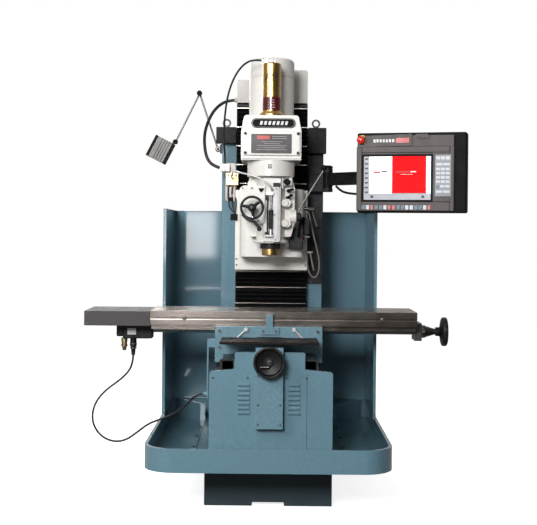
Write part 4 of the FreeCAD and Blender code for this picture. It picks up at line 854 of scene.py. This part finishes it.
def make_belt_front():
    """The guard plate on the belt housing with a plain data label, a blank badge and four screws."""
    plate, house = place("belt_cover_plate"), place("belt_housing")
    cover = Piece("belt_plate", "white_paint", "head")
    cover.box((plate.x0, house.y0 - 12, 1652), (plate.x1, house.y0 + 1, 1768), 4)
    cover.box((plate.x0 - 6, house.y0 - 5, 1636), (plate.x1 + 6, house.y0 + 1, 1648), 2)
    cover.done("belt_cover_plate")
    badge = Piece("badge_plate", "black_plastic", "head")
    outline = []
    for cx, start in ((92, -90), (-73, 90)):
        outline += [(cx + 23 * math.cos(math.radians(start + 15 * i)),
                     23 * math.sin(math.radians(start + 15 * i)))
                    for i in range(13)]
    badge.plate([(-x, y) for x, y in outline], 6, (0, house.y0, 1807), "-y", 180, 1)
    badge.done()
    rim = Piece("badge_rim", "label_white", "head")
    loop = [Vector((x * 0.955 + 0.4, house.y0 - 6.2, 1807 + z * 0.86)) for x, z in outline]
    rim.tube(loop, 0.7, 6, closed=True)
    slant = 4
    for i in range(7):
        x = -56 + 20 * i
        rim.plate([(0, -9), (12, -9), (12 + slant, 9), (slant, 9)], 0.8, (x, house.y0 - 5.8, 1807), "-y", 0,
                  0.2)
    rim.done()
    label = Piece("data_label", "label_dark", "head")
    label.box((-96, house.y0 - 12.8, 1661), (98, house.y0 - 11.8, 1754), 0.4)
    label.done()
    red = Piece("data_label_bar", "label_red", "head")
    red.box((-68, house.y0 - 13.4, 1728), (-6, house.y0 - 12.6, 1746), 0.3)
    red.done()
    lines = Piece("data_label_lines", "label_grey", "head")
    for z in (1741, 1731):
        lines.box((4, house.y0 - 13.3, z), (74, house.y0 - 12.6, z + 3), 0.2)
    for i, (a, b) in enumerate(((-46, 54), (-34, 42), (-70, 72), (-62, 64), (-74, 76))):
        z = 1716 - 9.5 * i
        lines.box((a, house.y0 - 13.3, z), (b, house.y0 - 12.6, z + 2.4), 0.2)
    lines.done()
    screws = Piece("belt_plate_screws", "black_paint", "head")
    for x in (plate.x0 + 10, plate.x1 - 10):
        for z in (1664, 1756):
            screws.socket_screw((x, house.y0 - 12, z), "-y", 7)
    screws.done()
    recast("drive_belt", "bellows_rubber", 0.4)
    recast("spindle_pulley", "turned_steel", 0.5)
    recast("motor_pulley", "turned_steel", 0.5)


def make_motor():
    m = place("drive_motor")
    x, y = (m.x0 + m.x1) / 2, (m.y0 + m.y1) / 2
    r = (m.x1 - m.x0) / 2
    top = m.z1 - m.z0
    case = Piece("motor_case", "white_paint", "head")
    case.lathe([(14.05, 0), (r - 4, 0), (r - 4, 10), (r - 1, 12), (r - 1, 214), (r - 3, 216), (r - 3, 219),
                (r - 1, 221),
                (r, 224), (r, top - 22), (r - 3, top - 10), (r - 12, top - 2), (r - 24, top), (0, top)],
               (x, y, m.z0), "+z", 72)
    case.done("drive_motor")
    vents = Piece("motor_vents", "black_plastic", "head")
    for i in range(24):
        a = 2 * math.pi * i / 24
        spot = Vector((x + 40 * math.cos(a), y + 40 * math.sin(a), m.z0 + top - 1))
        vents.tube([spot, spot + Vector((40 * math.cos(a), 40 * math.sin(a), 0))], 1.6, 6)
    vents.done()
    bolts = Piece("motor_bolts", "dark_steel", "head")
    for i in range(4):
        a = math.pi / 4 + i * math.pi / 2
        bolts.hex_nut((x + (r - 26) * math.cos(a), y + (r - 26) * math.sin(a), m.z0 + top - 4.5), "+z", 6, 4)
    bolts.done()
    box = Piece("motor_terminal_box", "white_paint", "head")
    box.box((x - 40, y + 80, m.z0 + 40), (x + 40, min(y + 130, -22), m.z0 + 130), 4)
    box.done()


def make_drawbar():
    b = place("power_drawbar")
    x, y = 0, SPINDLE_Y
    low = b.z0
    top = 2112 - low
    case = Piece("drawbar_case", "gold_anodised", "head")
    case.lathe([(18, 0), (60, 0), (62.5, 2), (62.5, 12), (60, 14), (49, 26), (44.5, 27), (44.5, 60),
                (42, 61), (42, 64),
                (44.5, 65), (44.5, 140), (43, 141), (43, 146), (44.5, 147), (44.5, top - 10), (42, top - 5),
                (34, top - 1),
                (26, top), (0, top)], (x, y, low), "+z", 64)
    case.done("power_drawbar")
    band = Piece("drawbar_band", "band_red", "head")
    band.lathe([(44.6, 32), (45, 33), (45, 94), (44.6, 95)], (x, y, low), "+z", 64)
    band.done()
    marks = Piece("drawbar_marks", "label_dark", "head")
    wave = [(-36, 0), (-22, 26), (-8, 8), (8, 34), (24, 12), (36, 30)]
    for shift in (0, 12):
        points = []
        for u, v in wave:
            a = -math.pi / 2 + u / 44.9
            points.append((x + 44.9 * math.cos(a), y + 44.9 * math.sin(a), low + 168 + v + shift))
        marks.tube(points, 2.4, 6)
    marks.done()
    lines = Piece("drawbar_lines", "label_white", "head")
    for i in range(4):
        points = []
        for k in range(9):
            a = -math.pi / 2 + (k - 4) * (0.10 - 0.012 * i)
            points.append((x + 45.1 * math.cos(a), y + 45.1 * math.sin(a), low + 44 + 12 * i))
        lines.tube(points, 1.2, 6)
    lines.done()
    fit = Piece("drawbar_fittings", "turned_steel", "head")
    fit.box((-40, y - 9, top + low - 2), (-18, y + 9, top + low + 21), 2)
    fit.lathe([(0, 0), (9, 0), (9, 6), (7, 7), (7, 12), (0, 12)], (-38, y, low + top + 12), "-x", 6)
    fit.lathe([(0, 0), (10, 0), (10, 6), (6, 8), (6, 14), (0, 15)], (14, y + 4, low + top), "+z", 6)
    fit.done()


def make_quill():
    recast("quill", "turned_steel", 0.6)
    recast("spindle", "gold_anodised", 1.0)
    q = place("quill")
    ring = Piece("quill_ring", "black_paint", "quill")
    ring.lathe([(48.2, 0.5), (49, 2), (49, 22), (48.2, 23.5)], (0, SPINDLE_Y, q.z0), "+z", 56)
    ring.done()
    stop = place("quill_stop")
    front = -462
    recast("quill_stop", "turned_steel", 0.5)
    plate = Piece("depth_scale", "label_white", "head")
    plate.box((13, front - 9, 1238), (40, front - 4.6, 1502), 1)
    plate.done()
    ticks = Piece("depth_scale_marks", "label_dark", "head")
    for i in range(49):
        wide = 9 if i % 5 == 0 else 5
        ticks.box((32 - wide / 2, front - 9.3, 1254 + 5 * i), (38, front - 8.8, 1254.8 + 5 * i), 0)
    for x, z in ((26, 1494), (20, 1368), (25, 1248)):
        ticks.socket_screw((x, front - 8.5, z), "-y", 3.5)
    ticks.done()
    nut = Piece("stop_knurl", "black_paint", "head")
    knurl = grooved(30, 0.03)
    nut.lathe([(5.2, 0), (9, 0), (11, 2), (11, 90), (9, 93), (5.2, 93)], (2, stop.y0 + 10, 1300), "+z", 60,
              ripple=knurl)
    nut.box((-27, stop.y0 - 1, 1440), (-11, front + 1, 1464), 2)
    nut.lathe([(0, 0), (3.6, 0), (3.6, 168), (0, 168)], (-15, front - 12, 1273), "+z", 16)
    nut.box((11, front - 12, 1502), (44, front + 1, 1522), 2)
    nut.box((-26, front - 14, 1274), (-14, front + 1, 1286), 2)
    nut.done()
    cone = Piece("stop_cone", "turned_steel", "head")
    cone.lathe([(5.2, 0), (12, 0), (12, 8), (8, 22), (8, 28), (5.2, 28)], (2, stop.y0 + 10, 1271), "+z", 36)
    cone.done()


def make_controls():
    """The feed handwheel, the quill lever and the clamps."""
    x, y, z = -88, -553, 1400
    wheel = Piece("fine_wheel", "black_paint", "fine_handwheel")
    rim = [(x + 51.5 * math.cos(a), y,
            z + 51.5 * math.sin(a)) for a in [2 * math.pi * i / 48 for i in range(48)]]
    wheel.tube(rim, 6, 14, closed=True)
    for angle in (168, 38, -80):
        a = math.radians(angle)
        spoke = [(x + k * math.cos(a), y - 2 * (k < 20), z + k * math.sin(a)) for k in (8, 20, 36, 50)]
        wheel.tube(spoke, [11, 9, 7, 7], 12)
    wheel.lathe([(0, 0), (12, 0), (12, 58), (17, 62), (20, 70), (20, 86), (16, 92), (8, 96), (0, 96)],
                (x, -473.3, z),
                "-y", 36)
    wheel.tube([(x - 46, -558, z - 32), (x - 18, -564, z - 54), (-74, -568, 1332), (-52, -568, 1304)],
               [7, 9, 8, 7], 14)
    wheel.done("fine_handwheel")
    crank = Piece("fine_crank", "chrome", "fine_handwheel")
    crank.ball(5.5, (x + 4, -566, z - 46))
    crank.lathe([(0, 0), (8, 0), (8, 3), (5, 5), (0, 5)], (x, -569.5, z), "-y", 24)
    crank.lathe([(0, 0), (4, 0), (4, 1.5), (0, 1.5)], (-52, -578, 1300), "-y", 20)
    crank.done()
    knob = Piece("fine_knob", "black_plastic", "fine_handwheel")
    knob.ball(11, (-52, -568, 1300))
    knob.done()

    start = 125.3
    hub = Piece("lever_hub", "black_paint", "quill_feed_lever")
    hub.lathe([(0, 0), (20, 0), (22, 2), (22, 16), (20, 20), (12, 26), (0, 26)], (start, SPINDLE_Y, 1361),
              "+x", 36)
    for i in range(4):
        a = math.pi * i / 2 + 0.4
        hub.ball(5, (start + 16, SPINDLE_Y + 17 * math.cos(a), 1361 + 17 * math.sin(a)))
    hub.done("quill_feed_lever")
    arm = Piece("lever_arm", "rod_steel", "quill_feed_lever")
    arm.tube([(start + 8, SPINDLE_Y, 1366), (136, SPINDLE_Y, 1392), (250, SPINDLE_Y, 1578),
              (256, SPINDLE_Y, 1590)], [6, 5, 4, 4], 16)
    arm.done()
    knob = Piece("lever_knob", "black_plastic", "quill_feed_lever")
    knob.ball(15, (259, SPINDLE_Y, 1601))
    knob.done()

    clamp = Piece("head_clamp", "dark_steel", "head_lock")
    clamp.lathe([(0, 0), (8, 0), (8, 30), (10, 32), (10, 58), (0, 58)], (165.3, -200, 1404), "+x", 28)
    clamp.lathe([(0, 0), (7, 0), (8, 2), (8, 26), (7, 28), (0, 28)], (194, -206, 1400), "+x", 24)
    clamp.tube([(209, -206, 1396), (220, -206, 1355), (234, -206, 1312)], [5, 5, 5], 12)
    clamp.done("quill_lock_handle")
    knob = Piece("head_clamp_knob", "black_plastic", "head_lock")
    knob.ball(8, (236, -206, 1308))
    knob.done()


def make_pneumatics():
    """The valve block at the head's left with its brass body, white valve and lines, and the right-hand hoses."""
    v = place("valve_block")
    plate = Piece("valve_plate", "dark_steel", "head")
    plate.box((-236, -62, v.z0), (-182, -52, 1640), 1.5)
    plate.box((-212, -80, v.z0), (-182, -52, v.z0 + 40), 2)
    plate.done("valve_block")
    brass = Piece("valve_brass", "brass", "head")
    brass.box((-232, -88, 1522), (-166, -62, 1588), 3)
    for x in (-220, -200, -180):
        brass.lathe([(7, 0), (7, 6), (5, 8), (5, 14), (0, 14)], (x, -75, 1522), "-z", 6)
        brass.lathe([(6, 0), (6, 5), (4, 6), (0, 6)], (x, -88, 1575), "-y", 20)
    brass.done()
    white = Piece("valve_body", "white_paint", "head")
    white.box((-262, -88, 1594), (-212, -62, 1634), 3)
    white.box((-256, -92, 1600), (-236, -86, 1628), 2)
    white.done()
    lines = Piece("valve_lines", "cable_jacket", "head")
    for i, x in enumerate((-220, -200, -180)):
        lines.tube(spline_line([(x, -75, 1510), (x - 1, -76, 1480), (x + 3, -84, 1440),
                                (x + 10 - 4 * i, -90, 1400),
                                (-176 - 4 * i, -92, 1372)], 5), 3.5, 10)
    lines.done()
    clips = Piece("valve_connectors", "black_plastic", "head")
    clips.box((-206, -100, 1342), (-170, -84, 1376), 3)
    clips.box((-214, -98, 1444), (-196, -80, 1462), 2)
    clips.done()

    loc = Piece("coolant_segments", "black_plastic", "head")
    path = [(168, -236, 1356), (162, -262, 1352), (150, -290, 1334), (143, -306, 1306), (140, -314, 1280),
            (138, -318, 1262)]
    points = [Vector(p) for p in spline_line(path, 5)]
    for a, b in zip(points, points[1:]):
        long = (b - a).length
        loc.lathe([(0, 0), (7, 0), (8.5, long * 0.45), (6, long), (0, long)], a, tuple(b - a), 20)
    loc.done()
    valve = Piece("coolant_valve", "red_plastic", "head")
    valve.lathe([(0, 0), (7, 0), (9, 3), (9, 10), (7, 13), (0, 13)], (163, -222, 1256), "-y", 24)
    valve.box((154, -232, 1253), (172, -226, 1259), 1.5)
    valve.done()
    tip = Piece("coolant_tip", "turned_steel", "head")
    tip.lathe([(0, 0), (5, 0), (5, 12), (3.5, 14), (3.5, 22), (0, 22)], (174, -222, 1262), "+x", 20)
    tip.done()
    block = Piece("coolant_block", "black_paint", "head")
    block.box((165, -240, 1272), (197, -196, 1354), 5)
    block.box((92, -300, 1200), (162, -262, 1306), 4)
    block.done()
    hose = Piece("air_gun_hose", "hose_grey", "head")
    loop = [(190, -150, 1402), (200, -158, 1360), (214, -168, 1290), (238, -178, 1196), (250, -186, 1136),
            (246, -190, 1082), (226, -190, 1050), (198, -186, 1074), (186, -176, 1130), (190, -120, 1180)]
    hose.tube(spline_line(loop, 6), 4, 12)
    hose.done()
    tee = Piece("coolant_tee_handle", "turned_steel", "head")
    tee.lathe([(0, 0), (6, 0), (7, 2), (7, 26), (6, 28), (0, 28)], (188, -150, 1183), "+x", 24)
    tee.tube([(204, -150, 1178), (214, -150, 1130), (222, -150, 1092)], [5, 5, 4.5], 12)
    tee.tube([(202, -150, 1183), (196, -120, 1183), (184, -84, 1183)], [4, 4, 4], 10)
    tee.done()


# ---------------------------------------------------------------- pendant

def pendant_frame():
    face = place("pendant_face")
    middle = Vector(((face.x0 + face.x1) / 2, (face.y0 + face.y1) / 2, (face.z0 + face.z1) / 2))
    turn = Matrix.Rotation(math.radians(-15), 4, "Z")
    return Matrix.Translation(middle) @ turn @ Matrix.Translation((0, -10, 0))


def make_pendant():
    """In the pendant's own frame: x across its face, y away from the operator, z up."""
    here = pendant_frame()
    wide, tall = 235, 185

    def piece(name, surface):
        return Piece(name, surface, "pendant", here)

    shell = piece("pendant_shell", "black_plastic")
    shell.box((-wide, 19, -tall - 8), (292, 104, tall + 8), 9)
    shell.box((-wide + 40, 102, -130), (230, 116, 130), 8)
    shell.box((-40, 104, -78), (40, 150, -48), 6)
    shell.lathe([(0, 0), (28, 0), (30, 2), (30, 28), (28, 30), (12, 30), (12, 130), (0, 130)], (0, 158, -78),
                "+z", 40)
    for i in range(10):
        shell.box((-150 + 26 * i, 115, 60), (-138 + 26 * i, 119, 118), 1.5)
    shell.done("pendant_case")

    bezel = piece("pendant_bezel", "pendant_grey")
    bezel.box((-wide + 6, 5, 124), (wide - 2, 20, tall - 6), 3)
    bezel.plate([(-wide + 8, 122), (34, 128), (34, tall), (-wide + 14, tall - 8)], 7, (0, 7, 0), "-y", 0, 1.5)
    bezel.plate([(60, tall - 22), (118, tall - 22), (108, tall), (48, tall)], 6, (0, 7, 0), "-y", 0, 1.5)
    for low, high in (((-wide, 2, -tall), (-208, 20, 126)), ((wide - 22, 2, -tall), (wide, 20, 126)),
                      ((-210, 2, 94), (wide - 20, 20, 126)), ((-210, 2, -tall), (wide - 20, 20, -140))):
        bezel.box(low, high, 5)
    bezel.box((130, 3, -140), (wide - 20, 20, 96), 3)
    bezel.box((-212, 8, -140), (132, 20, 96), 2)
    bezel.done("pendant_face")

    border = piece("screen_border", "black_plastic")
    for low, high in (((-212, 2.5, -141), (-199, 9, 88)), ((124, 2.5, -141), (135, 9, 88)),
                      ((-200, 2.5, 78), (126, 9, 88)),
                      ((-200, 2.5, -141), (126, 9, -131))):
        border.box(low, high, 1.5)
    border.done()

    for name, surface, blocks in (
            ("screen_page", "screen_white", (((-172, -100), (-62, 79)), ((102, -100), (125, 79)))),
            ("screen_panel", "screen_red", (((-62, -98), (102, 79)),)),
            ("screen_bars", "screen_grey", (((-200, -131), (-172, 79)), ((-172, -131), (125, -100))))):
        block = piece(name, surface)
        for (x0, z0), (x1, z1) in blocks:
            block.box((x0, 6.8, z0), (x1, 8.3, z1), 0.2)
        block.done()
    icons = piece("screen_icons", "label_dark")
    for i in range(8):
        icons.box((-194, 6.2, 62 - 23 * i), (-178, 7.2, 70 - 23 * i), 0.3)
    for x in (-166, 80):
        icons.box((x, 6.2, -122), (x + 14, 7.2, -110), 0.3)
    icons.box((-114, 6.2, 2), (-86, 7.2, 9), 0.2)
    icons.box((-142, 6.2, -17), (-100, 7.2, -14), 0.2)
    icons.box((-44, 6.2, 1), (20, 7.2, 6), 0.2)
    icons.done()
    marks = piece("screen_marks", "label_red")
    marks.box((-150, 6.2, -4), (-118, 7.2, 6), 0.2)
    marks.done()
    text = piece("screen_lines", "label_white")
    text.box((26, 6.2, 1), (54, 7.2, 7), 0.2)
    text.box((-20, 6.2, -10), (36, 7.2, -8), 0.2)
    text.done()

    pad = piece("keypad_panel", "key_ground")
    pad.box((144, 1.4, -114), (220, 4, 84), 1)
    pad.done()
    keys = piece("keypad_keys", "key_white")
    rows = [(60, 16, 3), (32, 12, 2), (9, 13, 3), (-11, 13, 3), (-31, 13, 3), (-51, 13, 3), (-73, 12, 2),
            (-98, 12, 2)]
    for index, (z, high, count) in enumerate(rows):
        left, right = (168, 216) if index == 6 else (148, 216)
        step = (right - left) / count
        for i in range(count):
            keys.box((left + step * i + 1, -0.4, z), (left + step * (i + 1) - 2, 2, z + high), 1.2)
    for i in (1, 5, 10, 11, 14):
        keys.box((-208 + 21.2 * i, -0.2, -178), (-192 + 21.2 * i, 2, -157), 1.2)
    keys.done()
    reds = piece("keypad_red_keys", "key_red")
    for i in (2, 6, 7, 15):
        reds.box((-208 + 21.2 * i, -0.2, -178), (-194 + 21.2 * i, 2, -157), 1.2)
    reds.done()
    darks = piece("keypad_dark_keys", "key_blue")
    for i in (0, 3, 4, 8, 9, 12, 13):
        darks.box((-208 + 21.2 * i, -0.2, -178), (-191 + 21.2 * i, 2, -157), 1.2)
    darks.box((148, -0.2, -76), (164, 2, -62), 1.2)
    darks.done()

    strip = piece("pendant_title", "label_white")
    for i in range(7):
        strip.box((-152 + 15 * i, -0.9, 145), (-142 + 15 * i, 0.2, 160), 0.3)
    strip.done()
    accent = piece("pendant_title_bar", "label_red")
    accent.box((-44, -0.9, 142), (20, 0.2, 166), 0.3)
    accent.done()
    yellow = piece("e_stop_ring", "yellow_plastic")
    yellow.lathe([(11, 0), (25, 0), (25, 6), (23, 8), (11, 8)], (-207, 8, 156), "-y", 40)
    yellow.done()
    cap = Piece("e_stop_cap", "red_plastic", "e_stop", here)
    cap.lathe([(0, -26), (8, -26), (8, 8), (12, 9), (18, 12), (19, 16), (18, 22), (12, 25.5), (0, 26)],
              (-212, 0, 157),
              "-y", 40)
    cap.done("e_stop")
    recast("pendant_arm", "black_paint", 3)
    knuckle = Piece("pendant_knuckle", "black_plastic", "frame")
    bracket = place("pendant_bracket")
    knuckle.lathe([(0, 0), (20, 0), (26, 3), (26, 12), (14, 16), (0, 16)], (300, 58, bracket.z1), "+z", 32)
    knuckle.done()


# ---------------------------------------------------------------- lamp

def make_lamp():
    recast("lamp_base", "black_paint", 1)
    recast("lamp_lower_arm", "rod_steel", 0, sharp=60)
    recast("lamp_upper_arm", "rod_steel", 0, sharp=60)
    knobs = Piece("lamp_elbow_knob", "black_plastic", "lamp_lower_arm")
    grooves = grooved(8, 0.08, 0.3)
    knobs.lathe([(0, 0), (13, 0), (15, 3), (15, 14), (12, 17), (0, 17)], (-383, 96, 2017), "-y", 40,
                ripple=grooves)
    knobs.lathe([(0, 0), (13, 0), (15, 2), (15, 9), (0, 9)], (-284, 132, 1724), "+y", 30)
    knobs.done()
    knobs = Piece("lamp_head_knob", "black_plastic", "lamp_upper_arm")
    knobs.lathe([(0, 0), (12, 0), (14, 3), (14, 13), (11, 16), (0, 16)], (-509, 97, 1758), "-y", 40,
                ripple=grooves)
    knobs.done()
    turn = Matrix.Rotation(math.radians(27), 4, "Y")
    here = Matrix.Translation((-588, 107, 1715)) @ turn
    shell = Piece("lamp_housing", "lamp_shell", "lamp_head", here)
    shell.box((-38, -59.2, -59.2), (47, 59.2, 59.2), 3)
    shell.done("lamp_head")
    # Dark strips across the plain housing: painted shade standing for the shadowed gaps between its fins.
    stripes = Piece("lamp_groove_shade_strips", "dark_cover", "lamp_head", here)
    for i in range(4):
        stripes.box((-12 + 14 * i, -59.8, -57), (-8 + 14 * i, 59.8, 57), 0.5)
    stripes.done()
    rim = Piece("lamp_rim", "black_plastic", "lamp_head", here)
    for low, high in (((-52.5, -60, -60), (-38, -52, 60)), ((-52.5, 52, -60), (-38, 60, 60)),
                      ((-52.5, -54, -60), (-38, 54, -52)), ((-52.5, -54, 52), (-38, 54, 60)),
                      ((47, -60, -60), (52.5, 60, 60))):
        rim.box(low, high, 2)
    rim.done()
    lens = Piece("lamp_lens", "lens_glass", "lamp_head", here)
    lens.box((-48, -53, -53), (-44, 53, 53), 1)
    lens.done()
    leds = Piece("lamp_leds", "screen_white", "lamp_head", here)
    for i in range(3):
        for k in range(3):
            leds.ball(9, (-42, -32 + 32 * i, -32 + 32 * k), 0.5, "-x")
    leds.done()
    link = Piece("lamp_head_link", "rod_steel", "lamp_head")
    link.tube([(-516, 124, 1755), (-536, 124, 1747), (-560, 124, 1735)], 6, 14)
    link.lathe([(6.1, 0), (11, 0), (11, 12), (6.1, 12)], (-509, 118, 1758), "+y", 28)
    link.done()


# ---------------------------------------------------------------- floor

def make_floor():
    """A pale floor that throws no light back on the machine."""
    mesh = bpy.data.meshes.new("floor")
    reach = 9
    mesh.from_pydata([(-reach, -reach, 0), (reach, -reach, 0), (reach, reach, 0), (-reach, reach, 0)], [],
                     [(0, 1, 2, 3)])
    floor = bpy.data.objects.new("floor", mesh)
    bpy.context.scene.collection.objects.link(floor)
    mesh.materials.append(make_material("floor", (0.9, 0.9, 0.9), 0.7, mottle=0.01, bump=0.0, glow=0.9))
    floor.visible_diffuse = False
    floor.visible_glossy = False


make_camera()
make_studio()
make_cords()
make_castings()
make_fasteners()
make_bellows()
make_cabinet()
make_saddle()
make_table()
make_x_drive()
make_handwheels()
make_head()
make_belt_front()
make_motor()
make_drawbar()
make_quill()
make_controls()
make_pneumatics()
make_pendant()
make_lamp()
make_floor()
